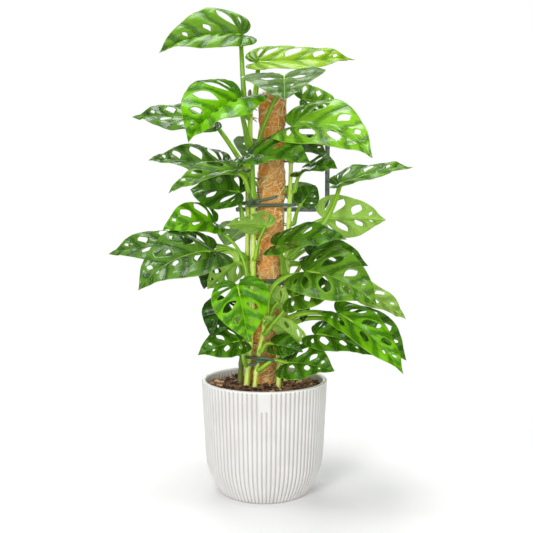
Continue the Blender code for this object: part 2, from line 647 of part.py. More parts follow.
def build_leaf(leaf, route, finish):
    """One leaf: a thin bent blade joined to its petiole, cut clear of its stem."""
    points, faces = flat_blade(leaf)
    blade = mesh_object(leaf.name, bend_blade(leaf, points), faces)
    thick = blade.modifiers.new("Thickness", "SOLIDIFY")
    thick.thickness = BLADE_THICKNESS * MM
    thick.offset = 0.0
    thick.use_even_offset = True
    blade = settle(blade)
    length = np.linalg.norm(np.diff(route, axis=0), axis=1).sum()
    count = 1 + min(max(round(length / PETIOLE_STEP), PETIOLE_RUNS[0]), PETIOLE_RUNS[1])
    picked = [route[round(k * (ROUTE_POINTS - 1) / (count - 1))] for k in range(count)]
    out = route[1] - route[0]
    picked[0] = route[0] + ROOT_OUT * out / np.linalg.norm(out)
    radii = np.linspace(PETIOLE_RADIUS, PETIOLE_RADIUS * PETIOLE_END_SHARE, count)
    blade = combine(blade, tube("petiole", picked, radii), "UNION")
    stem = STEMS[leaf.stem]
    line = stem_route(stem)
    cutter = tube("cutter", line, stem_radii(stem, len(line)) + STEM_CLEARANCE)
    blade = combine(blade, cutter, "DIFFERENCE")
    blade.data.materials.append(finish)
    return blade


def main():
    """Build every piece and put the parts in one collection."""
    for old in list(bpy.data.objects):
        bpy.data.objects.remove(old)
    white = material("pot_white", (0.83, 0.82, 0.79), 0.5)
    earth = material("potting_soil", (0.045, 0.026, 0.015), 0.95)
    coir = material("coir", (0.42, 0.19, 0.07), 0.95)
    wood = material("pole_wood", (0.45, 0.30, 0.16), 0.8)
    green = material("leaf_green", (0.07, 0.22, 0.02), 0.4)
    stem_green = material("stem_green", (0.22, 0.40, 0.05), 0.5)
    wire = material("tie_green", (0.13, 0.19, 0.14), 0.6)
    grey = material("support_grey", (0.20, 0.24, 0.22), 0.45)

    parts = [build_pot(white), build_soil(earth), *build_pole(coir, wood)]
    for name, stem in STEMS.items():
        line = stem_route(stem)
        part = tube(name, line, stem_radii(stem, len(line)))
        part.data.materials.append(stem_green)
        parts.append(part)
    for name, route in ties().items():
        part = tube(name, route, [TIE_RADIUS] * len(route))
        part.data.materials.append(wire)
        parts.append(part)
    for name, line, radius in (("support_arm", ARM, ARM_RADIUS), ("support_cane", CANE, CANE_RADIUS)):
        part = tube(name, line, [radius] * len(line), ROUND - 1)
        part.data.materials.append(grey)
        parts.append(part)
    routes = clear_routes(LEAVES, fixed_lines())
    parts += [build_leaf(leaf, routes[leaf.name], green) for leaf in LEAVES]

    plant = bpy.data.collections.new("monstera_adansonii")
    bpy.context.scene.collection.children.link(plant)
    for part in parts:
        plant.objects.link(part)
        bpy.context.scene.collection.objects.unlink(part)


if __name__ == "__main__":
    main()
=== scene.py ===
"""The look of a monstera adansonii that climbs a coir pole, in its ribbed white pot.

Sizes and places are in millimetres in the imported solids' own frame: the origin is the centre of the
pot's foot, +Z is up and the plant is seen from -Y. Meshes are made in metres, and the patterns of the
finishes and the studio's floor, backdrop and aim are given in metres too.
"""

import logging
import math
from collections.abc import Sequence
from dataclasses import dataclass, field
from enum import Enum

import bpy
import numpy as np
from mathutils import Matrix, Vector


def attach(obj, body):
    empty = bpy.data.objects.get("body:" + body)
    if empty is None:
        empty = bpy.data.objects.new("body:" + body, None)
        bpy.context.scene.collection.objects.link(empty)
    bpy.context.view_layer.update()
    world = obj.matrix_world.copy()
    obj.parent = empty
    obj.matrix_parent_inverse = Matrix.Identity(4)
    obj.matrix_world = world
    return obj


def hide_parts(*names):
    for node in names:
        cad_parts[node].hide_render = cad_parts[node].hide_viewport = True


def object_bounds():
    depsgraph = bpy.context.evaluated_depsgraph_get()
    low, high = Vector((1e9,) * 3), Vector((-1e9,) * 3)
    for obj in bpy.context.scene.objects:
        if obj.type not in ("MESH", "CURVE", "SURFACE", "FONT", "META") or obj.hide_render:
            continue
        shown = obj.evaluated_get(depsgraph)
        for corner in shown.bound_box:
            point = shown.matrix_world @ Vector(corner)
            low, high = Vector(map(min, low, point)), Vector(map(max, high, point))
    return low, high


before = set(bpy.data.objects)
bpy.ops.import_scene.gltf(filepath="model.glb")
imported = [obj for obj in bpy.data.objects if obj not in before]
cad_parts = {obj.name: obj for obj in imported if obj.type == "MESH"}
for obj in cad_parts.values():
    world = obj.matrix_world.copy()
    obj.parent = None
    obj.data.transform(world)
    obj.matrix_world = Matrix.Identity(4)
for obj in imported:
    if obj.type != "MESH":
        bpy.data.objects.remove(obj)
cad_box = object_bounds()

MM = 0.001
BODY = "root"
Point = tuple[float, float, float]
Colour = tuple[float, float, float]
WHITE: Colour = (1.0, 1.0, 1.0)
BLACK: Colour = (0.0, 0.0, 0.0)
CURVE_STEPS = 16
SMALL = 1e-3
HAIR = 1e-6
TINY = 1e-9
FULL_TURN = 2.0 * math.pi
log = logging.getLogger("monstera")


# Curves and noise

def between(before: np.ndarray, start: np.ndarray, end: np.ndarray, after: np.ndarray,
            t: float | np.ndarray) -> np.ndarray:
    """A smooth curve from start to end, t of the way, that heads past both to its neighbours."""
    return 0.5 * (2 * start + (end - before) * t + (2 * before - 5 * start + 4 * end - after) * t ** 2
                  + (3 * start - before - 3 * end + after) * t ** 3)


def spread(points: Sequence[Point], count: int) -> np.ndarray:
    """Points spread evenly along a smooth curve.

    Args:
        points: The places that the curve runs through.
        count: How many points to return.

    Returns:
        An array of count points.
    """
    given = np.array(points, dtype=float)
    padded = np.vstack([2 * given[0] - given[1], given, 2 * given[-1] - given[-2]])
    fine = []
    for i in range(len(given) - 1):
        for t in np.linspace(0.0, 1.0, CURVE_STEPS, endpoint=False):
            fine.append(between(*padded[i:i + 4], t))
    fine = np.array(fine + [given[-1]])
    along = np.concatenate([[0.0], np.cumsum(np.linalg.norm(np.diff(fine, axis=0), axis=1))])
    stops = np.linspace(0.0, along[-1], count)
    return np.column_stack([np.interp(stops, along, fine[:, k]) for k in range(3)])


def at_height(points: Sequence[Point], height: float) -> np.ndarray:
    """The point of a rising line at one height.

    Args:
        points: The line's points, from low to high.
        height: The height to look at.

    Returns:
        The point there.
    """
    line = np.array(points, dtype=float)
    return np.array([np.interp(height, line[:, 2], line[:, k]) for k in range(3)])


def ripple(places: np.ndarray, length: float, seed: int, waves: int = 9) -> np.ndarray:
    """Smooth noise between about -1 and 1, the same each run.

    Args:
        places: Points in millimetres, the last axis holding x, y and z.
        length: The usual distance between two crests.
        seed: Which pattern to give.
        waves: How many waves are added up.

    Returns:
        One value for each point.
    """
    draw = np.random.default_rng(seed)
    total = np.zeros(places.shape[:-1])
    for _ in range(waves):
        way = draw.normal(size=3)
        way *= FULL_TURN / (length * draw.uniform(0.6, 1.6) * np.linalg.norm(way))
        total += np.sin(places @ way + draw.uniform(0.0, FULL_TURN))
    return total * math.sqrt(2.0 / waves) * 0.5


def bell(distance: np.ndarray, width: float) -> np.ndarray:
    """A smooth bump: 1 at no distance, falling away over the width."""
    return np.exp(-(distance / width) ** 2)


# Modelling

def deselect() -> None:
    """Leave edit mode and select nothing."""
    if bpy.context.object and bpy.context.object.mode != "OBJECT":
        bpy.ops.object.mode_set(mode="OBJECT")
    bpy.ops.object.select_all(action="DESELECT")


def pick(made: bpy.types.Object) -> None:
    """Make one object the only selected and active one.

    Args:
        made: The object.
    """
    deselect()
    made.select_set(True)
    bpy.context.view_layer.objects.active = made


def read(items: "bpy.types.bpy_prop_collection", key: str) -> np.ndarray:
    """One vector value of every vertex or face of a mesh.

    Args:
        items: The mesh's vertices or faces.
        key: The value's name.

    Returns:
        One row of three for each item.
    """
    values = np.empty(3 * len(items))
    items.foreach_get(key, values)
    return values.reshape(-1, 3)


def note(made: bpy.types.Object, key: str, values: np.ndarray) -> None:
    """Keep one value for each vertex as an attribute that materials read."""
    known = made.data.attributes.get(key) or made.data.attributes.new(key, "FLOAT", "POINT")
    known.data.foreach_set("value", values)


def grid_lines(places: np.ndarray, count: int) -> np.ndarray:
    """Which of a grid primitive's count lines the places from -1 to 1 lie on."""
    return (places + 1.0) / 2.0 * (count - 1)


def woven(name: str, places: np.ndarray, marks: dict[str, np.ndarray] | None = None,
          gone: np.ndarray | None = None, closed: bool = True, weld: float = 0.002) -> bpy.types.Object:
    """A grid primitive laid over given places, opened where faces are gone and welded.

    Args:
        name: The object's name.
        places: Rows by columns by 3, in millimetres.
        marks: Values at each place, kept as attributes that materials read.
        gone: Rows by columns of faces, true where a face is left out.
        closed: Whether the result is a closed body, whose faces are turned outwards.
        weld: Places nearer than this become one.

    Returns:
        The object.
    """
    rows, columns = places.shape[:2]
    deselect()
    bpy.ops.mesh.primitive_grid_add(x_subdivisions=columns - 1, y_subdivisions=rows - 1, size=2.0)
    made = bpy.context.object
    made.name = made.data.name = name
    mesh = made.data
    flat = read(mesh.vertices, "co")
    column = np.rint(grid_lines(flat[:, 0], columns)).astype(int)
    row = np.rint(grid_lines(flat[:, 1], rows)).astype(int)
    for key, values in (marks or {}).items():
        note(made, key, values[row, column])
    if gone is not None:
        middles = read(mesh.polygons, "center")
        face_column = np.floor(grid_lines(middles[:, 0], columns)).astype(int)
        face_row = np.floor(grid_lines(middles[:, 1], rows)).astype(int)
        for level in (mesh.vertices, mesh.edges):
            level.foreach_set("select", np.zeros(len(level), dtype=bool))
        mesh.polygons.foreach_set("select", gone[face_row, face_column])
    mesh.vertices.foreach_set("co", (places[row, column] * MM).ravel())
    bpy.ops.object.mode_set(mode="EDIT")
    if gone is not None:
        bpy.ops.mesh.select_mode(type="FACE")
        bpy.ops.mesh.delete(type="FACE")
    bpy.ops.mesh.select_mode(type="VERT")
    bpy.ops.mesh.select_all(action="SELECT")
    bpy.ops.mesh.remove_doubles(threshold=weld * MM)
    if closed:
        bpy.ops.mesh.normals_make_consistent(inside=False)
    bpy.ops.object.mode_set(mode="OBJECT")
    bpy.ops.object.shade_smooth()
    return made


def rings(routes: np.ndarray, radii: np.ndarray, sides: int,
          lift: np.ndarray | None = None) -> tuple[np.ndarray, np.ndarray]:
    """Rings of points round routes, each ring turned as little as the route allows.

    Args:
        routes: Strands by points by 3.
        radii: Strands by points.
        sides: How many points a ring has, before it closes on itself.
        lift: Strands by points by sides + 1, added to the radius, or nothing.

    Returns:
        The rings' points, strands by points by sides + 1 by 3, and the angle of each column.
    """
    tangent = np.gradient(routes, axis=1)
    tangent /= np.maximum(np.linalg.norm(tangent, axis=2, keepdims=True), TINY)
    start = np.where(np.abs(tangent[:, :1, 2:]) < 0.9, (0.0, 0.0, 1.0), (0.0, -1.0, 0.0))
    normal = np.empty_like(routes)
    last = start[:, 0]
    for i in range(routes.shape[1]):
        last = last - (last * tangent[:, i]).sum(1, keepdims=True) * tangent[:, i]
        last /= np.maximum(np.linalg.norm(last, axis=1, keepdims=True), TINY)
        normal[:, i] = last
    side = np.cross(tangent, normal)
    angle = np.linspace(0.0, FULL_TURN, sides + 1)
    reach = radii[..., None] + (0.0 if lift is None else lift)
    way = (np.cos(angle)[:, None] * normal[:, :, None] + np.sin(angle)[:, None] * side[:, :, None])
    return routes[:, :, None] + reach[..., None] * way, angle


def strands(name: str, routes: np.ndarray, radii: np.ndarray, sides: int,
            tones: np.ndarray | None = None, lift: np.ndarray | None = None) -> bpy.types.Object:
    """Closed round strands along routes, all in one object.

    Args:
        name: The object's name.
        routes: Strands by points by 3.
        radii: Strands by points.
        sides: How many sides a strand has.
        tones: One value for each strand, kept as an attribute.
        lift: Added to the radius at each ring point, or nothing.

    Returns:
        The object, with the attributes along, ring_x, ring_y and tone.
    """
    count, stops = radii.shape
    around, angle = rings(routes, radii, sides, lift)
    first, last = routes[:, :1, None], routes[:, -1:, None]
    around = np.concatenate([np.broadcast_to(first, around[:, :1].shape), around,
                             np.broadcast_to(last, around[:, :1].shape)], axis=1)
    step = np.linalg.norm(np.diff(routes, axis=1), axis=2)
    along = np.concatenate([np.zeros((count, 1)), np.cumsum(step, axis=1)], axis=1)
    along = np.concatenate([along[:, :1], along, along[:, -1:]], axis=1)
    shape = (count * (stops + 2), sides + 1)
    spin = np.broadcast_to(angle, shape)
    tone = np.zeros(count) if tones is None else tones
    marks = {"along": np.repeat(along.ravel(), sides + 1).reshape(shape),
             "ring_x": np.cos(spin), "ring_y": np.sin(spin),
             "tone": np.repeat(tone, (stops + 2) * (sides + 1)).reshape(shape)}
    gone = np.zeros((shape[0] - 1, sides), dtype=bool)
    gone[stops + 1::stops + 2] = True
    return woven(name, around.reshape(*shape, 3), marks, gone)


def joined(pieces: list[bpy.types.Object]) -> bpy.types.Object:
    """Several objects made one, which keeps the first one's name.

    Args:
        pieces: The objects, the one to keep first.

    Returns:
        That one.
    """
    pick(pieces[0])
    for piece in pieces[1:]:
        piece.select_set(True)
    bpy.ops.object.join()
    return bpy.context.object


def thickened(made: bpy.types.Object, thickness: float) -> bpy.types.Object:
    """Give an open sheet its thickness, half to each side.

    Args:
        made: The sheet.
        thickness: In millimetres.

    Returns:
        The same object, closed, its attribute side 0 above and 1 below.
    """
    before = len(made.data.vertices)
    pick(made)
    shell = made.modifiers.new("Thickness", "SOLIDIFY")
    shell.thickness = thickness * MM
    shell.offset = 0.0
    bpy.ops.object.modifier_apply(modifier=shell.name)
    side = np.zeros(len(made.data.vertices))
    side[before:] = 1.0
    note(made, "side", side)
    return made


# Shader maths

class Wire:
    """A shader socket whose arithmetic adds Math nodes."""

    def __init__(self, recipe: "Recipe", socket: bpy.types.NodeSocket) -> None:
        """Wrap one output socket of a recipe's tree."""
        self.recipe = recipe
        self.socket = socket

    def _math(self, operation: str, first: "Wire | float", second: "Wire | float") -> "Wire":
        """One Math node on two values."""
        return self.recipe.node("ShaderNodeMath", {"operation": operation}, {0: first, 1: second})

    def __add__(self, other: "Wire | float") -> "Wire":
        """The sum."""
        return self._math("ADD", self, other)

    __radd__ = __add__

    def __rsub__(self, other: float) -> "Wire":
        """The difference from a number."""
        return self._math("SUBTRACT", other, self)

    def __mul__(self, other: "Wire | float") -> "Wire":
        """The product."""
        return self._math("MULTIPLY", self, other)

    __rmul__ = __mul__


class Recipe:
    """A material in the making."""

    def __init__(self, name: str, roughness: float = 0.5) -> None:
        """Start a material with one Principled shader.

        Args:
            name: The material's name.
            roughness: Its roughness, until that is fed.
        """
        self.material = bpy.data.materials.new(name)
        self.material.use_nodes = True
        self.tree = self.material.node_tree
        self.shader = self.tree.nodes["Principled BSDF"]
        self.feed(self.shader.inputs["Roughness"], roughness)

    def feed(self, socket: bpy.types.NodeSocket, value: object) -> None:
        """Link or set one input socket.

        Args:
            socket: The input socket.
            value: A wire to link, or a value to set.
        """
        if isinstance(value, Wire):
            self.tree.links.new(value.socket, socket)
        elif socket.type == "RGBA" and len(value) == 3:
            socket.default_value = (*value, 1.0)
        else:
            socket.default_value = value

    def node(self, kind: str, settings: dict | None = None, sockets: dict | None = None,
             output: int | str = 0) -> Wire:
        """Add any node.

        Args:
            kind: The node's type.
            settings: Its own settings, set first.
            sockets: Values or links for its input sockets.
            output: Which of its outputs to return.

        Returns:
            That output.
        """
        made = self.tree.nodes.new(kind)
        for key, value in (settings or {}).items():
            setattr(made, key, value)
        for key, value in (sockets or {}).items():
            self.feed(made.inputs[key], value)
        return Wire(self, made.outputs[output])

    def mark(self, name: str) -> Wire:
        """One of the mesh's own attributes."""
        return self.node("ShaderNodeAttribute", {"attribute_name": name}, output="Fac")

    def place(self) -> Wire:
        """Object coordinates."""
        return self.node("ShaderNodeTexCoord", output="Object")

    def vector(self, x: Wire | float, y: Wire | float, z: Wire | float) -> Wire:
        """Three values as one vector."""
        return self.node("ShaderNodeCombineXYZ", sockets={0: x, 1: y, 2: z})

    def mapped(self, scale: Point, where: Wire | None = None) -> Wire:
        """Object coordinates, or others, stretched along their axes."""
        return self.node("ShaderNodeMapping", sockets={"Vector": where or self.place(), "Scale": scale})

    def fold(self, value: Wire, half: float) -> Wire:
        """A value that runs up to half and back down again."""
        return self.node("ShaderNodeMath", {"operation": "PINGPONG"}, {0: value, 1: half})

    def noise(self, where: Wire, size: float, detail: float = 3.0) -> Wire:
        """Noise from 0 to 1.

        Args:
            where: The coordinates that it is read at.
            size: The usual size of a patch, in the coordinates' unit.
            detail: How many finer layers it has.

        Returns:
            The noise's value.
        """
        return self.node("ShaderNodeTexNoise", sockets={"Vector": where, "Scale": 1.0 / size,
                                                        "Detail": detail})

    def step(self, value: Wire, low: float, high: float) -> Wire:
        """A smooth step from 0 at low to 1 at high."""
        return self.node("ShaderNodeMapRange", {"interpolation_type": "SMOOTHSTEP"},
                         {"Value": value, "From Min": low, "From Max": high})

    def blend(self, share: Wire | float, first: Wire | Colour, second: Wire | Colour) -> Wire:
        """A colour between two colours."""
        return self.node("ShaderNodeMix", {"data_type": "RGBA"}, {0: share, 6: first, 7: second}, 2)

    def finish(self, colour: Wire, roughness: Wire | None = None, height: Wire | None = None,
               depth: float = 0.2) -> bpy.types.Material:
        """Wire up the shader.

        Args:
            colour: The base colour.
            roughness: The roughness, where it changes over the surface.
            height: The bump's height, from 0 to 1.
            depth: The bump's depth, in millimetres.

        Returns:
            The material.
        """
        self.feed(self.shader.inputs["Base Color"], colour)
        if roughness is not None:
            self.feed(self.shader.inputs["Roughness"], roughness)
        if height is not None:
            bump = self.node("ShaderNodeBump", sockets={"Strength": 1.0, "Distance": depth * MM,
                                                        "Height": height})
            self.feed(self.shader.inputs["Normal"], bump)
        return self.material

    def polish(self, coat: float, coat_roughness: float = 0.15) -> None:
        """Give the whole surface a clear waxy coat."""
        self.feed(self.shader.inputs["Coat Weight"], coat)
        self.feed(self.shader.inputs["Coat Roughness"], coat_roughness)

    def soften(self, level: float) -> None:
        """Lower the surface's own mirror reflection; 0.5 is usual for a hard surface."""
        self.feed(self.shader.inputs["Specular IOR Level"], level)


# Finishes

@dataclass(frozen=True)
class LeafFinish:
    """The colours of one kind of blade: upper side, veins, underside and rim."""

    name: str
    deep: Colour
    fresh: Colour
    vein: Colour
    under: Colour
    rim: Colour
    roughness: float = 0.34
    coat: float = 0.1
    gloss: float = 0.2
    coat_roughness: float = 0.13
    gloss_share: float = 0.8
    smoother: float = 0.07
    vein_line: tuple[float, float] = (0.1, 0.7)
    midrib_line: tuple[float, float] = (0.5, 1.3)
    rim_line: tuple[float, float] = (0.965, 0.998)
    pad_slope: tuple[float, float] = (0.4, 6.0)
    fresh_range: tuple[float, float] = (0.38, 0.72)
    net_scale: float = 190.0
    fine_size: float = 0.0022
    broad_size: float = 0.028
    bump_depth: float = 0.6

    def material(self) -> bpy.types.Material:
        """Green that pales along the veins and the rim, with painted shade in the vein creases and
        painted highlight on the raised pads, pale and matt on the underside.

        Returns:
            The material of one kind of blade.
        """
        recipe = Recipe(self.name, self.roughness)
        where = recipe.place()
        phase, spacing = recipe.mark("phase"), recipe.mark("spacing")
        rib, edge, side = recipe.mark("rib"), recipe.mark("edge"), recipe.mark("side")
        from_vein = recipe.fold(phase, 0.5) * spacing
        vein = 1.0 - recipe.step(from_vein, *self.vein_line)
        midrib = 1.0 - recipe.step(rib, *self.midrib_line)
        quilt = recipe.noise(recipe.vector(phase * 2.6, rib * 0.30, 0.0), 1.0, 3.0)
        net = recipe.node("ShaderNodeTexVoronoi", {"feature": "DISTANCE_TO_EDGE"},
                          {"Vector": where, "Scale": self.net_scale})
        fine = recipe.noise(where, self.fine_size, 3.0)
        broad = recipe.noise(where, self.broad_size, 2.0)
        pad = recipe.step(from_vein, *self.pad_slope)
        # Painted highlight: lighter on the pads between the side veins and where the quilt that also
        # raises the bump stands high; the broad and fine noise is the leaf's own mottling.
        share = recipe.step(broad * 0.45 + quilt * 0.35 + fine * 0.1 + pad * 0.2, *self.fresh_range)
        upper = recipe.blend(share, self.deep, self.fresh)
        # The first tint is painted shade: the deep green laid into the creases beside the side veins.
        for amount, tint in (((1.0 - pad) * 0.5, self.deep),
                             ((1.0 - recipe.step(net, 0.0, 0.12)) * 0.18, self.vein),
                             (vein * 0.3, self.vein), (midrib * 0.7, self.vein),
                             (recipe.step(edge, *self.rim_line) * 0.7, self.rim)):
            upper = recipe.blend(amount, upper, tint)
        lower = recipe.blend(quilt * 0.5, self.under, self.fresh)
        for amount, tint in (((1.0 - recipe.step(net, 0.0, 0.14)) * 0.3, self.deep),
                             (vein * 0.6, self.rim), (midrib * 0.8, self.rim)):
            lower = recipe.blend(amount, lower, tint)
        rough = self.roughness - self.smoother + fine * 0.12 + side * 0.2 + vein * 0.06
        crease = recipe.step(net, 0.0, 0.2)
        height = quilt * 0.45 + fine * 0.2 + recipe.step(from_vein, 0.0, 1.2) * 0.35 + crease * 0.12
        recipe.polish(self.coat, self.coat_roughness)
        recipe.soften(self.gloss * self.gloss_share)
        return recipe.finish(recipe.blend(side, upper, lower), rough, height, self.bump_depth)


YOUNG = LeafFinish("leaf_young", (0.105, 0.24, 0.004), (0.27, 0.47, 0.014), (0.17, 0.32, 0.012),
                   (0.27, 0.44, 0.03), (0.40, 0.60, 0.05), 0.34)
FRESH = LeafFinish("leaf_fresh", (0.036, 0.150, 0.001), (0.165, 0.47, 0.003), (0.15, 0.40, 0.012),
                   (0.19, 0.39, 0.04), (0.26, 0.52, 0.02), 0.28, 0.1, 0.14)
MIDDLE = LeafFinish("leaf_middle", (0.030, 0.105, 0.002), (0.130, 0.31, 0.012), (0.18, 0.38, 0.035),
                    (0.20, 0.37, 0.06), (0.24, 0.46, 0.03), 0.32, 0.12)
DARK = LeafFinish("leaf_dark", (0.017, 0.072, 0.001), (0.085, 0.260, 0.006), (0.14, 0.33, 0.02),
                  (0.16, 0.31, 0.05), (0.16, 0.36, 0.02), 0.28, 0.15, 0.22)
# Painted shade: a near-black copy of the leaf green for leaves that sit in shade inside the foliage.
PAINTED_SHADE = LeafFinish("leaf_painted_shade", (0.007, 0.032, 0.001), (0.034, 0.120, 0.004), (0.07, 0.19, 0.015),
                  (0.11, 0.24, 0.04), (0.10, 0.26, 0.02), 0.30, 0.15)
# Painted light: a lighter copy of the leaf green for leaves whose upper sides face the lamps.
PAINTED_LIGHT = LeafFinish("leaf_painted_light", (0.055, 0.180, 0.003), (0.230, 0.53, 0.018), (0.20, 0.46, 0.025),
                    (0.19, 0.39, 0.04), (0.30, 0.56, 0.03), 0.27, 0.2, 0.3)
GLOSSY = LeafFinish("leaf_glossy", (0.014, 0.058, 0.002), (0.088, 0.225, 0.014), (0.16, 0.32, 0.04),
                    (0.18, 0.33, 0.08), (0.20, 0.40, 0.04), 0.27, 0.25, 0.32)
# The leaf's green with a painted reflection: greyed as the sky's sheen greys an upper side seen at a
# grazing angle.
PAINTED_SHEEN = LeafFinish("leaf_painted_sheen", (0.022, 0.072, 0.005), (0.088, 0.190, 0.022), (0.20, 0.35, 0.08),
                    (0.18, 0.31, 0.09), (0.22, 0.43, 0.05), 0.34, 0.12, 0.22)
PALE = LeafFinish("leaf_pale", (0.17, 0.34, 0.035), (0.40, 0.66, 0.11), (0.50, 0.73, 0.18),
                  (0.30, 0.52, 0.08), (0.46, 0.68, 0.14), 0.42)


@dataclass(frozen=True)
class StemFinish:
    """Juicy green with pale lengthwise streaks and, where it has one, a dry sheath at its foot."""

    name: str
    base: Colour
    streak: Colour
    shade: Colour
    roughness: float = 0.42
    dry: Colour | None = None
    speck: Colour = (0.20, 0.14, 0.04)
    husk_height: tuple[float, float] = (0.205, 0.232)

    def material(self) -> bpy.types.Material:
        """Streaks that follow the stem, from the ring attributes.

        Returns:
            The material of a stem, a petiole or roots.
        """
        recipe = Recipe(self.name, self.roughness)
        where = recipe.place()
        ring_x, ring_y, along = recipe.mark("ring_x"), recipe.mark("ring_y"), recipe.mark("along")
        streaks = recipe.noise(recipe.vector(ring_x * 2.6, ring_y * 2.6, along * 0.012), 0.8, 3.0)
        patches = recipe.noise(recipe.vector(ring_x, ring_y, along * 0.09), 1.1, 3.0)
        fine = recipe.noise(where, 0.0012, 2.0)
        colour = recipe.blend(recipe.step(streaks, 0.42, 0.62), self.base, self.streak)
        colour = recipe.blend(recipe.step(patches, 0.5, 0.78) * 0.7, colour, self.shade)
        specks = recipe.step(recipe.noise(where, 0.004, 2.0), 0.70, 0.76)
        colour = recipe.blend(specks * 0.5, colour, self.speck)
        if self.dry:
            height = recipe.node("ShaderNodeSeparateXYZ", sockets={0: where}, output="Z")
            husk = (1.0 - recipe.step(height + streaks * 0.03, *self.husk_height)) * 0.9
            colour = recipe.blend(husk, colour, recipe.blend(patches, self.dry, self.shade))
        recipe.polish(0.2)
        return recipe.finish(colour, self.roughness + fine * 0.15, streaks * 0.7 + fine * 0.3, 0.25)


STEM = StemFinish("stem_green", (0.48, 0.78, 0.045), (0.90, 1.0, 0.28), (0.17, 0.38, 0.010))
OLD_STEM = StemFinish("stem_old", STEM.base, STEM.streak, STEM.shade, dry=(0.16, 0.13, 0.03))
PETIOLE = StemFinish("petiole_green", (0.17, 0.42, 0.008), (0.40, 0.69, 0.035), (0.06, 0.19, 0.004))
ROOT = StemFinish("root_brown", (0.16, 0.09, 0.04), (0.26, 0.16, 0.08), (0.07, 0.035, 0.015), 0.75)


@dataclass(frozen=True)
class CoirFinish:
    """Coconut fibre, from straw to dark brown."""

    name: str
    dark: Colour
    middle: Colour
    light: Colour

    def material(self, loose: bool) -> bpy.types.Material:
        """The finish of the mat, or of its loose fibres, each with its own tone.

        Args:
            loose: Whether it is for the loose fibres.

        Returns:
            The material.
        """
        recipe = Recipe(f"{self.name}_{'fibre' if loose else 'mat'}", 0.85)
        recipe.soften(0.1)
        where = recipe.place()
        broad = recipe.noise(where, 0.018, 3.0)
        fine = recipe.noise(where, 0.0016, 4.0)
        if loose:
            tone = recipe.mark("tone") * 0.75 + broad * 0.35 + fine * 0.15
            colour = recipe.blend(recipe.step(tone, 0.10, 0.48), self.dark, self.middle)
            colour = recipe.blend(recipe.step(tone, 0.55, 0.92), colour, self.light)
            return recipe.finish(colour, 0.62 + fine * 0.2, fine, 0.05)
        turned = recipe.node("ShaderNodeVectorRotate", {"rotation_type": "Z_AXIS"},
                             {"Vector": where, "Angle": 0.6})
        comb = recipe.noise(recipe.mapped((1.0, 1.0, 0.22), turned), 0.0011, 4.0)
        comb_across = recipe.noise(recipe.mapped((0.3, 0.3, 1.6), where), 0.0014, 4.0)
        mixed = comb * 0.45 + comb_across * 0.4 + fine * 0.15
        # Darker where the bump is low and lighter where it stands high: the coir's own dark and pale
        # fibres, with painted shade in the gaps between fibres and painted highlight on their tops.
        colour = recipe.blend(recipe.step(mixed, 0.38, 0.54), self.dark, self.middle)
        colour = recipe.blend(recipe.step(mixed * 0.7 + broad * 0.3, 0.50, 0.66), colour, self.light)
        return recipe.finish(colour, 0.75 + fine * 0.2, mixed, 0.9)


COIR = CoirFinish("coir", (0.66, 0.22, 0.045), (1.0, 0.47, 0.10), (1.0, 0.82, 0.42))


@dataclass(frozen=True)
class SoilFinish:
    """Damp potting mix: nearly black earth with red-brown bark."""

    name: str
    earth: Colour
    brown: Colour
    bark: Colour

    def material(self, bark: bool) -> bpy.types.Material:
        """The finish of the earth, or of the bark bits, each with its own tone.

        Args:
            bark: Whether it is for bits that have a tone.

        Returns:
            The material.
        """
        recipe = Recipe(f"{self.name}_{'bark' if bark else 'earth'}", 0.9)
        where = recipe.place()
        fine = recipe.noise(where, 0.0012, 4.0)
        crumb = recipe.noise(where, 0.0045, 4.0)
        if bark:
            grain = recipe.noise(recipe.mapped((0.25, 1.0, 1.0), where), 0.0009, 3.0)
            tone = recipe.mark("tone") + grain * 0.3
            colour = recipe.blend(recipe.step(tone, 0.30, 0.62), self.earth, self.brown)
            colour = recipe.blend(recipe.step(tone, 0.88, 1.12), colour, self.bark)
            return recipe.finish(colour, 0.6 + fine * 0.3, grain * 0.6 + fine * 0.4, 0.3)
        colour = recipe.blend(recipe.step(crumb, 0.42, 0.64), self.earth, self.brown)
        colour = recipe.blend(recipe.step(fine, 0.60, 0.75) * 0.6, colour, self.bark)
        return recipe.finish(colour, 0.7 + fine * 0.25, crumb * 0.6 + fine * 0.4, 1.2)


SOIL = SoilFinish("soil", (0.034, 0.018, 0.011), (0.26, 0.120, 0.058), (0.78, 0.48, 0.26))
PERLITE = SoilFinish("perlite", (0.30, 0.27, 0.22), (0.50, 0.46, 0.40), (0.66, 0.63, 0.58))


@dataclass(frozen=True)
class PotFinish:
    """Warm white moulded plastic, faintly clouded."""

    name: str
    wall: Colour
    groove: Colour
    lip: Colour
    roughness: float = 0.42

    def material(self) -> bpy.types.Material:
        """Off-white, with painted shade in the grooves and towards the foot and painted light at the lip.

        Returns:
            The material of the whole pot.
        """
        recipe = Recipe(self.name, self.roughness)
        where = recipe.place()
        grain = recipe.noise(where, 0.0007, 3.0)
        cloud = recipe.noise(where, 0.035, 3.0)
        # Painted shade: the groove colour laid into the pot's grooves.
        colour = recipe.blend(recipe.step(recipe.mark("groove"), 0.15, 1.0) * 0.75, self.wall,
                              self.groove)
        colour = recipe.blend(recipe.step(cloud, 0.35, 0.7) * 0.12, colour, self.groove)
        # Painted shade: greyer towards the foot, where the pot meets the floor.
        foot_shade = recipe.step(recipe.mark("low"), 0.0, 1.0)
        colour = recipe.blend(foot_shade * 0.35, colour, self.groove)
        # Painted light: the lip made whiter than the wall.
        colour = recipe.blend(recipe.mark("high"), colour, self.lip)
        recipe.polish(0.08, 0.3)
        rough = self.roughness + grain * 0.12 + cloud * 0.06
        return recipe.finish(colour, rough, grain, 0.05)


# The wall is the plastic's own white; the groove colour is painted shade and the lip colour painted
# light.
POT = PotFinish("pot_white", (0.74, 0.73, 0.71), (0.40, 0.375, 0.35), (0.95, 0.93, 0.92))


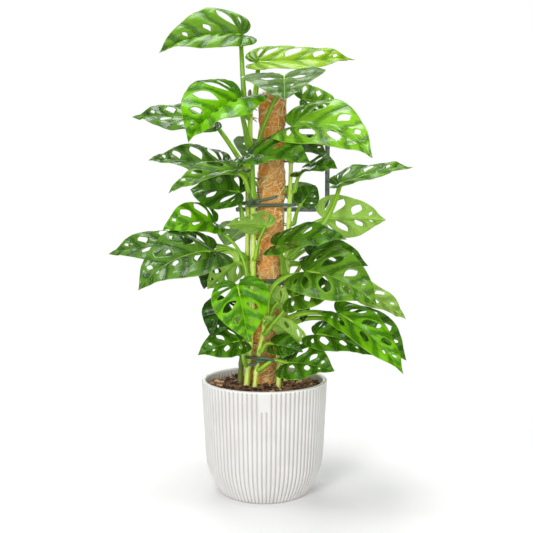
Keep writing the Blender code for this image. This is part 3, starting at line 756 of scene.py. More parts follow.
@dataclass(frozen=True)
class CoatedFinish:
    """Coated wire or tube: one colour, scuffed and slightly uneven."""

    name: str
    base: Colour
    worn: Colour
    roughness: float
    ring_step: float = 0.0
    ring_shade: Colour = (0.02, 0.03, 0.02)

    def material(self) -> bpy.types.Material:
        """The coat, with fine lengthwise scratches and, where it has them, moulded rings.

        Returns:
            The material of a tie or a tube.
        """
        recipe = Recipe(self.name, self.roughness)
        ring_x, ring_y, along = recipe.mark("ring_x"), recipe.mark("ring_y"), recipe.mark("along")
        scratch = recipe.noise(recipe.vector(ring_x * 3.0, ring_y * 3.0, along * 0.06), 0.6, 4.0)
        fine = recipe.noise(recipe.place(), 0.001, 3.0)
        colour = recipe.blend(recipe.step(scratch, 0.52, 0.72), self.base, self.worn)
        height = scratch * 0.4 + fine * 0.3
        if self.ring_step:
            ring = recipe.fold(along, self.ring_step)
            height = height + recipe.step(ring, 0.0, self.ring_step * 0.3)
            gap = 1.0 - recipe.step(ring, 0.0, self.ring_step * 0.2)
            colour = recipe.blend(gap * 0.4, colour, self.ring_shade)
        return recipe.finish(colour, self.roughness + fine * 0.15, height, 0.12)


TIE = CoatedFinish("tie_rubber", (0.085, 0.135, 0.080), (0.17, 0.24, 0.16), 0.55)
TUBE = CoatedFinish("support_tube", (0.15, 0.19, 0.17), (0.29, 0.34, 0.31), 0.34, 6.0)


@dataclass(frozen=True)
class WoodFinish:
    """Sawn softwood."""

    name: str
    early: Colour
    late: Colour

    def material(self) -> bpy.types.Material:
        """Lengthwise grain, from Object coordinates stretched along Z.

        Returns:
            The material of the stake.
        """
        recipe = Recipe(self.name, 0.75)
        where = recipe.mapped((1.0, 1.0, 0.06))
        grain = recipe.noise(where, 0.0022, 4.0)
        fine = recipe.noise(where, 0.0006, 2.0)
        colour = recipe.blend(recipe.step(grain, 0.42, 0.62), self.early, self.late)
        return recipe.finish(colour, 0.65 + fine * 0.2, grain * 0.6 + fine * 0.4, 0.3)


WOOD = WoodFinish("pole_wood", (0.52, 0.34, 0.17), (0.30, 0.16, 0.07))


class Finish(Enum):
    """Which blade finish a leaf has."""

    YOUNG = YOUNG
    FRESH = FRESH
    MIDDLE = MIDDLE
    DARK = DARK
    PAINTED_SHADE = PAINTED_SHADE
    GLOSSY = GLOSSY
    PAINTED_LIGHT = PAINTED_LIGHT
    PAINTED_SHEEN = PAINTED_SHEEN
    PALE = PALE


# The plant's layout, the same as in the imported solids

@dataclass(frozen=True)
class Stem:
    """A climbing stem: the points that it runs through and its thickness at the soil."""

    points: tuple[Point, ...]
    radius: float


@dataclass(frozen=True)
class Leaf:
    """A leaf: its blade's two ends, its width, the way its upper side looks, and its petiole."""

    number: int
    stem: str
    node: float
    base: Point
    tip: Point
    width: float
    face: Point
    finish: Finish = Finish.DARK
    fold: float = 14.0
    droop: float = 30.0
    left: str = "few"
    right: str = "few"
    arch: float = 8.0
    sweep: float = 0.0
    via: tuple[Point, ...] = ()

    @property
    def name(self) -> str:
        """The name of the leaf's solid."""
        return f"leaf_{self.number:02d}"


STEMS = {
    "stem_a": Stem(((-27, -17, 120), (-25, -18, 158), (-19, -19, 240), (-16, -17, 330),
                    (-16, -14, 400), (-18, -11, 460), (-20, -8, 510), (-19, -6, 560)), 3.9),
    "stem_b": Stem(((-36, 4, 120), (-35, 4, 158), (-29, 4, 240), (-25, 3, 330), (-24, 2, 400),
                    (-25, 4, 472)), 3.4),
    "stem_c": Stem(((19, -25, 120), (20, -23, 158), (24, -18, 240), (31, -12, 330), (35, -9, 400),
                    (37, -7, 450), (38, -5, 496)), 3.4),
    "stem_d": Stem(((31, 10, 120), (31, 11, 158), (31, 13, 240), (35, 14, 330), (37, 17, 400)), 3.2),
    "stem_e": Stem(((-14, -32, 120), (-13, -31, 158), (-8, -30, 200), (-1, -28, 236), (2, -27, 262)),
                   3.2),
    "stem_f": Stem(((2, 34, 120), (3, 33, 158), (8, 32, 240), (13, 33, 330), (17, 36, 405),
                    (18, 33, 480)), 3.2),
}
LEAVES = (
    Leaf(1, "stem_a", 532, (-32, -10, 645), (-144, -30, 616), 78, (0.0, -0.86, 0.5),
         finish=Finish.MIDDLE, fold=42, droop=30, left="slivers", right="base", arch=0, sweep=-6),
    Leaf(2, "stem_a", 546, (-10, 12, 612), (129, 14, 617), 72, (0.0, -0.66, 0.75), finish=Finish.YOUNG,
         fold=20, droop=14, left="many", right="none", arch=0, sweep=-4),
    Leaf(3, "stem_a", 470, (27, -38, 582), (26, -116, 536), 112, (-0.1, -0.4, 1.0), finish=Finish.PAINTED_SHEEN,
         fold=18, droop=20, arch=0, via=((-2, -33, 520),)),
    Leaf(4, "stem_a", 490, (-33, -38, 551), (-98, -92, 487), 112, (-0.3, -0.85, 0.42),
         finish=Finish.FRESH, fold=40, droop=34, left="slivers", right="many", arch=0, sweep=-5),
    Leaf(5, "stem_a", 448, (-72, 12, 531), (-195, 40, 540), 74, (0.0, -0.69, 0.72), finish=Finish.GLOSSY,
         fold=8, droop=16, left="some", right="some", arch=2),
    Leaf(6, "stem_b", 454, (-61, 10, 463), (-165, 0, 473), 76, (0.0, -0.6, 0.8), finish=Finish.GLOSSY,
         fold=30, droop=14, right="many", via=((-46, 6, 472),)),
    Leaf(7, "stem_a", 425, (-36, -34, 456), (-128, -64, 423), 70, (0.0, -0.4, 0.92),
         finish=Finish.MIDDLE, fold=22, droop=30, right="some"),
    Leaf(8, "stem_b", 380, (-34, -7, 427), (-111, 48, 434), 72, (0.0, -0.85, 0.5), fold=10, droop=20),
    Leaf(9, "stem_a", 410, (-18, -46, 474), (60, -98, 459), 82, (0.0, -0.62, 0.78), fold=26, droop=28),
    Leaf(10, "stem_c", 470, (39, -38, 514), (142, -80, 468), 94, (0.15, -0.86, 0.5),
         finish=Finish.PAINTED_LIGHT, fold=28, droop=30, left="outer", right="wide", sweep=14),
    Leaf(11, "stem_c", 488, (53, 8, 560), (112, 50, 552), 74, (0.0, -0.8, 0.6), finish=Finish.PAINTED_LIGHT,
         fold=10),
    Leaf(12, "stem_f", 470, (42, 26, 503), (90, 6, 478), 50, (0.0, -0.6, 0.8), finish=Finish.PAINTED_SHEEN,
         right="none"),
    Leaf(13, "stem_c", 425, (53, -8, 459), (98, -60, 456), 56, (0.0, -0.7, 0.7), right="none"),
    Leaf(14, "stem_c", 330, (105, -10, 438), (207, -22, 461), 62, (0.0, -0.42, 0.9),
         finish=Finish.MIDDLE, fold=24, droop=16, via=((84, -32, 378), (100, -25, 408))),
    Leaf(15, "stem_d", 350, (87, 22, 391), (172, -10, 388), 74, (0.0, 0.85, 0.5), finish=Finish.PALE,
         fold=8, droop=16, left="some", right="wide"),
    Leaf(16, "stem_d", 380, (55, 14, 413), (75, 30, 439), 38, (0.2, -0.9, 0.5), left="none"),
    Leaf(17, "stem_a", 330, (2, -36, 378), (-51, -76, 380), 54, (0.0, 0.6, 0.8), finish=Finish.PALE,
         right="none"),
    Leaf(18, "stem_a", 268, (-72, 2, 384), (-142, -26, 373), 68, (0.0, -0.7, 0.7), finish=Finish.FRESH,
         fold=24, droop=60, right="wide", via=((-17, -33, 305), (-24, -34, 342), (-48, -16, 366))),
    Leaf(19, "stem_b", 312, (-72, -40, 345), (-165, -88, 295), 98, (-0.2, -0.75, 0.6),
         finish=Finish.GLOSSY, fold=14, droop=36, left="slivers", right="wide", sweep=-10,
         via=((-40, -4, 345), (-58, -18, 352))),
    Leaf(20, "stem_b", 330, (-115, 16, 353), (-231, 34, 338), 78, (0.0, -0.6, 0.8), finish=Finish.GLOSSY,
         fold=12, droop=22, right="some"),
    Leaf(21, "stem_b", 250, (-65, 0, 335), (-86, -14, 290), 52, (-0.3, -0.9, 0.3), finish=Finish.PAINTED_SHADE,
         right="none"),
    Leaf(22, "stem_a", 309, (-37, -24, 329), (-79, -34, 292), 52, (-0.3, 0.8, 0.3), finish=Finish.PALE,
         left="wide"),
    Leaf(23, "stem_a", 215, (-35, -80, 301), (-20, -106, 231), 76, (0.0, -1.0, 0.3), finish=Finish.FRESH,
         fold=10, droop=20, right="many"),
    Leaf(24, "stem_b", 215, (-52, -43, 275), (-71, -62, 228), 56, (-0.4, -0.85, 0.3), finish=Finish.PAINTED_SHADE,
         right="none"),
    Leaf(25, "stem_a", 180, (-32, -42, 221), (-89, -72, 207), 56, (0.0, -0.7, 0.7)),
    Leaf(26, "stem_e", 240, (22, -42, 274), (-16, -46, 298), 38, (0.0, 0.7, 0.5), finish=Finish.PALE,
         right="none"),
    Leaf(27, "stem_e", 225, (37, -52, 283), (99, -84, 292), 68, (0.0, -0.75, 0.65), finish=Finish.MIDDLE,
         via=((16, -50, 249), (27, -57, 266))),
    Leaf(28, "stem_c", 310, (16, -44, 352), (108, -86, 362), 80, (0.0, -0.5, 0.86), fold=16, droop=26),
    Leaf(29, "stem_d", 290, (66, 14, 338), (147, -12, 323), 70, (0.0, -0.6, 0.8)),
    Leaf(30, "stem_e", 250, (54, -70, 319), (143, -118, 278), 96, (0.2, -0.8, 0.58),
         finish=Finish.MIDDLE, fold=12, droop=34, left="some", right="many", sweep=6,
         via=((0, -44, 272), (6, -52, 300), (24, -62, 318))),
    Leaf(31, "stem_d", 320, (130, 34, 288), (206, 12, 244), 56, (0.2, -0.6, 0.8), finish=Finish.PALE),
    Leaf(32, "stem_d", 230, (109, -12, 246), (195, -50, 195), 84, (0.5, -0.7, 0.5), left="wide",
         right="none", sweep=6),
    Leaf(33, "stem_c", 240, (99, -66, 262), (178, -116, 190), 60, (0.3, -0.8, 0.5), finish=Finish.FRESH,
         fold=18, droop=30, left="many", sweep=4),
    Leaf(34, "stem_d", 200, (70, -46, 231), (143, -92, 210), 60, (0.1, -0.75, 0.65), right="some",
         sweep=3, via=((46, -22, 218),)),
    Leaf(35, "stem_c", 215, (56, -14, 269), (54, -18, 243), 18, (0.0, -1.0, 0.2), finish=Finish.PAINTED_SHADE,
         left="none", right="none"),
    Leaf(36, "stem_c", 190, (48, -34, 219), (-3, -46, 257), 34, (0.0, 0.7, 0.5), finish=Finish.PALE,
         right="none"),
    Leaf(37, "stem_e", 175, (33, -52, 192), (92, -98, 190), 68, (0.0, -0.7, 0.7), fold=16, left="some",
         right="some"),
    Leaf(38, "stem_e", 202, (12, -44, 216), (53, -58, 208), 38, (0.0, -0.7, 0.7), left="none"),
    Leaf(39, "stem_f", 440, (-4, 62, 505), (-28, 150, 480), 78, (0.0, 0.6, 0.8), right="none"),
    Leaf(40, "stem_f", 380, (34, 70, 440), (66, 158, 405), 76, (0.2, 0.6, 0.8), right="none"),
    Leaf(41, "stem_f", 320, (-24, 66, 380), (-66, 150, 345), 80, (-0.2, 0.6, 0.8), right="none"),
    Leaf(42, "stem_f", 260, (28, 72, 300), (64, 158, 262), 78, (0.2, 0.6, 0.8), right="none"),
    Leaf(43, "stem_f", 200, (-22, 66, 240), (-58, 146, 208), 70, (-0.2, 0.6, 0.8), right="none"),
    Leaf(44, "stem_f", 410, (-40, 62, 462), (-104, 124, 436), 74, (-0.3, 0.5, 0.8), right="none"),
    Leaf(45, "stem_f", 290, (66, 60, 350), (122, 130, 322), 74, (0.3, 0.5, 0.8), right="none"),
)

SHEATHED_STEM = "stem_b"
POLE_AXIS = ((-9.0, 4.0, 30.0), (-3.0, 4.0, 158.0), (6.0, 4.0, 322.0), (10.0, 4.0, 450.0),
             (12.0, 4.0, 562.0))
COIR_RADIUS = 18.5
COIR_FOOT = 132.0
SOIL_TOP = 151.0
ARM_RADIUS = 3.4
ARM = ((-42.0, 29.0, 404.0), (-20.0, 27.0, 404.0), (9.0, 26.8, 404.0), (50.0, 28.0, 404.0),
       (82.0, 28.0, 405.0), (90.0, 28.0, 412.0), (92.0, 28.0, 424.0), (92.0, 28.0, 502.0))
CANE_RADIUS = 2.6
CANE = ((-26.0, 22.0, 122.0), (-21.0, 19.0, 576.0))
TIE_RADIUS = 2.2
TIE_STEPS = 13
TIE_SLACK = 1.5
FINE = 60


def pole_centre(height: float) -> np.ndarray:
    """The middle of the pole at one height."""
    return at_height(spread(POLE_AXIS, FINE), height)


@dataclass
class Tie:
    """A soft coated wire wound once round the pole and some stems."""

    name: str
    low: float
    high: float
    level: float
    stems: tuple[str, ...]
    start: float
    tails: tuple[tuple[Point, Point], tuple[Point, Point]]
    points: int = 150
    sides: int = 14
    end_share: float = 0.55

    def route(self) -> list[Point]:
        """The wire's course: one free end, once round the bundle, the other free end.

        Returns:
            The points that the wire runs through.
        """
        around = [(pole_centre(self.level), COIR_RADIUS)]
        for key in self.stems:
            stem = STEMS[key]
            around.append((at_height(spread(stem.points, FINE), self.level), stem.radius))
        course = []
        for k in range(TIE_STEPS + 1):
            angle = math.radians(self.start + 360.0 * k / TIE_STEPS)
            way = np.array([math.cos(angle), math.sin(angle)])
            reach = [way.dot(centre[:2]) + radius for centre, radius in around]
            centre, radius = around[int(np.argmax(reach))]
            flat = np.array(centre[:2]) + (radius + TIE_RADIUS + TIE_SLACK) * way
            course.append((*flat, self.low + (self.high - self.low) * k / TIE_STEPS))
        return [*self.tails[0], *course, *self.tails[1]]

    def build(self, material: bpy.types.Material) -> bpy.types.Object:
        """The wire as a smooth round strand with closed ends.

        Args:
            material: The wire's material.

        Returns:
            The piece.
        """
        line = spread(self.route(), self.points)
        radii = np.full(self.points, TIE_RADIUS)
        radii[[0, -1]] *= self.end_share
        made = strands(f"{self.name}_wire", line[None], radii[None], self.sides)
        made.data.materials.append(material)
        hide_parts(self.name)
        return made


TIES = (
    Tie("tie_1", 191, 196, 192, ("stem_a", "stem_b", "stem_c", "stem_e"), 255,
        (((-22, -46, 188), (-14, -42, 188)), ((6, -46, 197), (14, -46, 192)))),
    Tie("tie_2", 408, 413, 410, ("stem_a", "stem_b", "stem_c"), 235,
        (((-21, -36, 421), (-17, -34, 414)), ((2, -32, 416), (18, -34, 420)))),
    Tie("tie_3", 298, 303, 300, ("stem_a", "stem_b", "stem_c"), 300,
        (((2, -37, 304), (10, -36, 301)), ((24, -36, 302), (28, -38, 308)))),
)


# Petioles and blades

PETIOLE_RADIUS = 2.6
SEAT_AHEAD = 4.0
SEAT_UNDER = 6.0
SHOULDER_OUT = 7.0
SHOULDER_UP = 11.0
ROUTE_POINTS = 25
ROUTE_CLEARANCE = 1.2
ROUTE_ROUNDS = 90
ROUTE_PUSH = 0.5
ROUTE_EASE = 0.3

HALF_OUTLINE = np.array(((0.0, 0.0), (-0.085, 0.17), (-0.12, 0.44), (-0.06, 0.74), (0.10, 0.95),
                         (0.30, 1.0), (0.50, 0.87), (0.68, 0.63), (0.83, 0.35), (0.93, 0.13),
                         (1.0, 0.0)))
OUTLINE_ENDS = ((0.04, -0.14), (1.03, -0.06))
VEIN_REACH = 0.30
VEIN_SWEEP = 0.10
EDGE_CURL = 0.6
HOLES = {
    "none": (),
    "few": ((0.39, 0.34, 0.66, 0.013), (0.50, 0.22, 0.72, 0.028), (0.64, 0.20, 0.70, 0.028),
            (0.76, 0.24, 0.60, 0.014)),
    "some": ((0.44, 0.28, 0.74, 0.026), (0.56, 0.18, 0.76, 0.034), (0.69, 0.16, 0.68, 0.028),
             (0.79, 0.24, 0.60, 0.014)),
    "many": ((0.40, 0.30, 0.76, 0.024), (0.50, 0.18, 0.80, 0.032), (0.61, 0.16, 0.80, 0.034),
             (0.73, 0.16, 0.72, 0.027), (0.82, 0.22, 0.60, 0.014)),
    "wide": ((0.43, 0.26, 0.78, 0.030), (0.55, 0.17, 0.82, 0.043), (0.68, 0.15, 0.78, 0.038),
             (0.79, 0.24, 0.64, 0.016)),
    "base": ((0.37, 0.40, 0.70, 0.012), (0.50, 0.22, 0.84, 0.036), (0.64, 0.12, 0.44, 0.016),
             (0.75, 0.16, 0.50, 0.012)),
    "slivers": ((0.36, 0.30, 0.60, 0.010), (0.46, 0.12, 0.50, 0.018), (0.57, 0.12, 0.52, 0.020),
                (0.68, 0.12, 0.48, 0.018), (0.78, 0.14, 0.44, 0.012)),
    "outer": ((0.40, 0.30, 0.60, 0.012), (0.52, 0.42, 0.80, 0.022), (0.66, 0.36, 0.78, 0.026),
              (0.77, 0.30, 0.68, 0.018)),
}


def blade_axes(leaf: Leaf) -> tuple[np.ndarray, np.ndarray, np.ndarray, float]:
    """The directions of a blade: to its tip, to its left side, up from its upper side; its chord.

    Args:
        leaf: Which leaf.

    Returns:
        Three unit vectors and the distance from the blade's base to its tip.
    """
    ahead = np.subtract(leaf.tip, leaf.base).astype(float)
    chord = float(np.linalg.norm(ahead))
    ahead /= chord
    up = np.array(leaf.face, dtype=float)
    up -= up.dot(ahead) * ahead
    up /= np.linalg.norm(up)
    return ahead, np.cross(up, ahead), up, chord


def petiole_start(leaf: Leaf) -> np.ndarray:
    """A petiole's course before it is bent clear: out of its stem, up and in under its blade.

    Args:
        leaf: Which leaf.

    Returns:
        The course's points, from the stem to the blade.
    """
    root = at_height(spread(STEMS[leaf.stem].points, FINE), leaf.node)
    ahead, _, up, _ = blade_axes(leaf)
    slope = 0.5 * math.radians(leaf.droop)
    ahead, up = (ahead * math.cos(slope) + up * math.sin(slope),
                 up * math.cos(slope) - ahead * math.sin(slope))
    seat = np.array(leaf.base, dtype=float) + SEAT_AHEAD * ahead
    away = seat - root
    away[2] = 0.0
    away /= max(float(np.linalg.norm(away)), 1.0)
    shoulder = root + SHOULDER_OUT * away + np.array([0.0, 0.0, SHOULDER_UP])
    middle = leaf.via or (0.5 * (shoulder + seat) + np.array([0.0, 0.0, leaf.arch]),)
    below = seat - SEAT_UNDER * (up + ahead)
    return spread([root, shoulder, *middle, below, seat], ROUTE_POINTS)


def push_off(points: np.ndarray, starts: np.ndarray, ends: np.ndarray,
             reach: np.ndarray) -> np.ndarray:
    """How far each point has to move to lie at least its reach away from every segment.

    Args:
        points: The points to move.
        starts: The segments' first ends.
        ends: The segments' second ends.
        reach: The distance to keep, for each segment or for each point and segment.

    Returns:
        One move for each point.
    """
    along = ends - starts
    share = ((points[:, None] - starts) * along).sum(2) / np.maximum((along ** 2).sum(1), TINY)
    off = points[:, None] - (starts + np.clip(share, 0.0, 1.0)[..., None] * along)
    far = np.maximum(np.linalg.norm(off, axis=2), HAIR)
    short = np.maximum(reach - far, 0.0)
    return (off / far[..., None] * short[..., None]).sum(1)


def clear_routes() -> dict[int, np.ndarray]:
    """The petioles' courses, bent clear of the pole, the stems, the ties and each other.

    Returns:
        Each leaf's number with its petiole's points.
    """
    fixed = [(spread(POLE_AXIS, ROUTE_POINTS), COIR_RADIUS)]
    fixed += [(spread(stem.points, ROUTE_POINTS), stem.radius) for stem in STEMS.values()]
    fixed += [(np.array(tie.route(), dtype=float), TIE_RADIUS) for tie in TIES]
    fixed += [(np.array(ARM), ARM_RADIUS), (np.array(CANE), CANE_RADIUS)]
    routes = np.array([petiole_start(leaf) for leaf in LEAVES])
    starts = np.vstack([line[:-1] for line, _ in fixed])
    ends = np.vstack([line[1:] for line, _ in fixed])
    radii = np.concatenate([[radius] * (len(line) - 1) for line, radius in fixed])
    inner = slice(2, ROUTE_POINTS - 2)
    count = ROUTE_POINTS - 4
    owner = np.repeat(np.arange(len(LEAVES)), count)
    for _ in range(ROUTE_ROUNDS):
        points = routes[:, inner].reshape(-1, 3)
        push = push_off(points, starts, ends, radii + PETIOLE_RADIUS + ROUTE_CLEARANCE)
        others = routes[:, :-1:2].reshape(-1, 3), routes[:, 2::2].reshape(-1, 3)
        other_owner = np.repeat(np.arange(len(LEAVES)), len(others[0]) // len(LEAVES))
        reach = np.where(owner[:, None] == other_owner, 0.0, 2.0 * PETIOLE_RADIUS + ROUTE_CLEARANCE)
        push += ROUTE_PUSH * push_off(points, *others, reach)
        routes[:, inner] += ROUTE_PUSH * push.reshape(len(LEAVES), count, 3)
        middle = 0.5 * (routes[:, 1:-3] + routes[:, 3:-1])
        routes[:, inner] += ROUTE_EASE * (middle - routes[:, inner])
    return dict(zip((leaf.number for leaf in LEAVES), routes))


def outline(stop: np.ndarray) -> np.ndarray:
    """Points of the unit half blade's edge, from the petiole at 0 to the tip at 1.

    Args:
        stop: How far along the edge.

    Returns:
        The points, with x to the tip and y outwards.
    """
    last = len(HALF_OUTLINE) - 2
    padded = np.vstack([OUTLINE_ENDS[0], HALF_OUTLINE, OUTLINE_ENDS[1]])
    place = np.clip(stop, 0.0, 1.0) * (last + 1)
    i = np.minimum(place.astype(int), last)
    return between(*(padded[i + k] for k in range(4)), (place - i)[..., None])


def half_blade(stop: np.ndarray, reach: np.ndarray) -> np.ndarray:
    """Points of the unit half blade, reach of the way out along side veins to the edge.

    Args:
        stop: How far along the edge.
        reach: How far out, from 0 at the midrib to 1.

    Returns:
        The points, with x to the tip and y outwards.
    """
    edge = outline(stop)
    x, y = edge[..., 0], edge[..., 1]
    root = np.maximum(0.0, x - VEIN_REACH * y)
    return np.stack([root + reach * (x - root) - VEIN_SWEEP * y * reach * (1.0 - reach), reach * y],
                    axis=-1)


@dataclass
class Blade:
    """One leaf's blade, as fine as it is looked at: pierced, quilted, waved and buckled."""

    leaf: Leaf
    rows: int = 26
    column_step: float = 0.018
    thickness: float = 0.5
    weld: float = 0.01
    inset: float = 0.3
    hole_power: float = 0.8
    hole_share: float = 0.92
    hole_lean: float = 1.3
    plain_cuts: tuple[float, float] = (0.44, 0.58)
    outer_spacing: float = 0.85
    end_phase: float = 1.2
    first_phase: float = 40.0
    quilt: float = 2.1
    quilt_power: float = 0.7
    quilt_spacing: float = 12.0
    quilt_range: tuple[float, float] = (0.4, 1.2)
    rim_calm: float = 1.04
    rim_slope: float = 4.0
    tip_slope: float = 5.0
    vein_groove: float = 0.45
    vein_width: float = 0.9
    rib_groove: float = 1.0
    rib_width: float = 1.6
    rib_flank: float = 4.0
    wave: float = 2.6
    wave_rate: tuple[float, float] = (0.22, 0.42)
    wave_start: float = 6.0
    wave_slope: float = 4.0
    wave_least: float = 0.3
    buckle: float = 1.6
    buckle_length: float = 46.0
    buckle_seed: int = 60
    grain: float = 0.3
    grain_length: float = 9.0
    full_width: float = 60.0

    def hole_width(self, hole: tuple[float, ...], reach: np.ndarray) -> np.ndarray:
        """Half the width of one hole, in stops, at each reach.

        Args:
            hole: Its stop, its two ends' reaches and its half width.
            reach: The rows' reaches.

        Returns:
            The half widths.
        """
        _, near, far, half = hole
        share = np.clip((reach - near) / (far - near), 0.0, 1.0)
        return self.hole_share * half * np.sin(math.pi * share ** self.hole_lean) ** self.hole_power

    def columns(self) -> tuple[np.ndarray, np.ndarray]:
        """The blade's columns before its holes open.

        Returns:
            Their stops, and whether each is the last before a hole.
        """
        cuts = sorted({hole[0] for side in (self.leaf.left, self.leaf.right) for hole in HOLES[side]})
        bounds = [0.0, *cuts, 1.0]
        stops, ends = [], []
        for low, high in zip(bounds, bounds[1:]):
            cells = max(2, round((high - low) / self.column_step))
            part = np.linspace(low, high, cells + 1)
            stops.extend(part)
            ends.extend([False] * cells + [True])
        return np.array(stops), np.array(ends)

    def opened(self, stops: np.ndarray, ends: np.ndarray, pattern: str,
               reach: np.ndarray) -> np.ndarray:
        """Where each column runs once one side's holes push it aside.

        Args:
            stops: The columns' stops.
            ends: Whether each column is the last before a cut.
            pattern: That side's holes.
            reach: The rows' reaches.

        Returns:
            Stops, rows by columns.
        """
        holes = [(0.0, 0.0, 1.0, 0.0), *HOLES[pattern], (1.0, 0.0, 1.0, 0.0)]
        marks = np.array([hole[0] for hole in holes])
        before = np.searchsorted(marks, stops - HAIR, side="right") - 1
        at_mark = np.isclose(stops[:, None], marks[None]).any(1)
        before = np.where(at_mark & ends, before, np.where(at_mark, before + 1, before))
        before = np.clip(before, 0, len(holes) - 2)
        widths = np.array([self.hole_width(hole, reach) for hole in holes])
        low = marks[before][None] + widths[before].T
        high = marks[before + 1][None] - widths[before + 1].T
        share = (stops - marks[before]) / (marks[before + 1] - marks[before])
        return low + (high - low) * share[None]

    def phase(self, stops: np.ndarray, pattern: str) -> np.ndarray:
        """Which side vein each stop lies by: whole numbers on veins, halves at holes.

        Args:
            stops: The columns' stops.
            pattern: That side's holes.

        Returns:
            One value for each stop.
        """
        cuts = [hole[0] for hole in HOLES[pattern]] or self.plain_cuts
        gap = float(np.mean(np.diff(cuts)))
        low, high = cuts[0], cuts[-1]
        before = np.arange(low, 0.0, -gap * self.outer_spacing)[1:][::-1]
        after = np.arange(high, 1.0, gap * self.outer_spacing)[1:]
        known = np.concatenate([before, cuts, after])
        value = np.arange(len(known)) - len(before) + 0.5
        known = np.concatenate([[known[0] - gap], known, [known[-1] + gap]])
        value = np.concatenate([[value[0] - self.end_phase], value, [value[-1] + self.end_phase]])
        return np.interp(stops, known, value)

    def bend(self, flat: np.ndarray, lift: np.ndarray) -> np.ndarray:
        """Place points of the unit blade in space: folded at the midrib, drooping to its tip.

        Args:
            flat: Unit blade points.
            lift: Relief above the blade, in millimetres.

        Returns:
            The points in millimetres.
        """
        leaf = self.leaf
        ahead, left, up, chord = blade_axes(leaf)
        arc = math.radians(max(leaf.droop, 1.0))
        length = chord * 0.5 * arc / math.sin(0.5 * arc)
        x, y = flat[..., 0], flat[..., 1]
        out = np.abs(y) * 0.5 * leaf.width
        rise = math.radians(leaf.fold) * (1.0 - EDGE_CURL * np.abs(y))
        across = np.copysign(out * np.cos(rise), y) + leaf.sweep * 4.0 * x * (1.0 - x)
        high = out * np.sin(rise) + lift
        slope = arc * (0.5 - x)
        along = length / arc * (math.sin(0.5 * arc) - np.sin(slope)) - high * np.sin(slope)
        level = length / arc * (np.cos(slope) - math.cos(0.5 * arc)) + high * np.cos(slope)
        return (np.array(leaf.base) + along[..., None] * ahead + across[..., None] * left
                + level[..., None] * up)

    def layout(self, stops: np.ndarray, ends: np.ndarray) -> tuple[np.ndarray, dict[str, np.ndarray]]:
        """The whole unit blade, row by row from its right rim over the midrib to its left rim.

        Args:
            stops: The columns' stops.
            ends: Whether each column is the last before a cut.

        Returns:
            The points, and how each lies: its vein phase, the veins' spacing, its distance from the
            midrib in millimetres and its share of the way to the edge.
        """
        size = np.array([blade_axes(self.leaf)[3], 0.5 * self.leaf.width])
        out = np.linspace(0.0, 1.0, self.rows + 1)
        flats, marks = [], {"phase": [], "spacing": [], "rib": [], "edge": []}
        for side, pattern, reach in ((-1.0, self.leaf.right, out[:0:-1]), (1.0, self.leaf.left, out)):
            moved = self.opened(stops, ends, pattern, reach)
            at = np.broadcast_to(reach[:, None], moved.shape)
            flat = half_blade(moved, at)
            across = (half_blade(moved + SMALL, at) - flat) * size / SMALL
            outward = (half_blade(moved, at + SMALL) - flat) * size / SMALL
            turn = across[..., 0] * outward[..., 1] - across[..., 1] * outward[..., 0]
            wide = np.abs(turn) / np.maximum(np.linalg.norm(outward, axis=-1), 1.0)
            phase = self.phase(stops, pattern)
            slope = np.median(np.gradient(phase) / np.maximum(np.gradient(stops), SMALL))
            marks["spacing"].append(wide / slope)
            marks["phase"].append(np.broadcast_to(phase[None], moved.shape) + self.first_phase)
            marks["rib"].append(flat[..., 1] * size[1])
            marks["edge"].append(at)
            flats.append(flat * (1.0, side))
        return np.concatenate(flats), {key: np.concatenate(value) for key, value in marks.items()}

    def relief(self, flat: np.ndarray, marks: dict[str, np.ndarray],
               calm: np.ndarray) -> np.ndarray:
        """How far each point is raised: quilted between sunken veins, and waved at the rim.

        Args:
            flat: Unit blade points.
            marks: How they lie among the veins.
            calm: How free each point is: 1, falling to 0 at the tip.

        Returns:
            The relief in millimetres.
        """
        phase, spacing, rib, edge = (marks[key] for key in ("phase", "spacing", "rib", "edge"))
        draw = np.random.default_rng(self.leaf.number)
        pad = (0.5 - 0.5 * np.cos(FULL_TURN * phase)) ** self.quilt_power
        puff = pad * (1.0 - bell(rib, self.rib_flank)) * self.quilt
        puff *= np.clip(spacing / self.quilt_spacing, *self.quilt_range)
        puff *= np.clip((self.rim_calm - edge) * self.rim_slope, 0.0, 1.0)
        puff += self.vein_groove * (1.0 - bell(np.abs(phase - np.rint(phase)) * spacing, self.vein_width))
        groove = -self.rib_groove * bell(rib, self.rib_width)
        swing = phase * FULL_TURN * draw.uniform(*self.wave_rate) + draw.uniform(0.0, self.wave_start)
        wave = self.wave * np.sin(swing) * edge ** 3
        wave = wave * np.clip(self.wave_slope * flat[..., 0], self.wave_least, 1.0)
        return (puff + groove + wave) * min(1.0, self.leaf.width / self.full_width) * calm

    def build(self) -> bpy.types.Object:
        """The blade as a closed sheet, kept inside the solids' box.

        Returns:
            The blade, with no finish yet.
        """
        seed, up = self.leaf.number, blade_axes(self.leaf)[2]
        stops, ends = self.columns()
        flat, marks = self.layout(stops, ends)
        calm = np.clip((1.0 - flat[..., 0]) * self.tip_slope, 0.0, 1.0)
        placed = self.bend(flat, self.relief(flat, marks, calm))
        uneven = self.grain * ripple(placed, self.grain_length, seed)
        buckled = ripple(placed, self.buckle_length, seed + self.buckle_seed)
        uneven += self.buckle * buckled * marks["edge"] * calm
        low, high = (np.array(corner) / MM for corner in cad_box)
        placed = np.clip(placed + uneven[..., None] * up, low + self.inset, high - self.inset)
        gone = np.zeros((len(placed) - 1, len(stops) - 1), dtype=bool)
        gone[:, ends[:-1]] = True
        made = woven(f"{self.leaf.name}_blade", placed, marks, gone, closed=False, weld=self.weld)
        if (read(made.data.polygons, "normal") @ up).mean() < 0.0:
            made.data.flip_normals()
        return thickened(made, self.thickness)


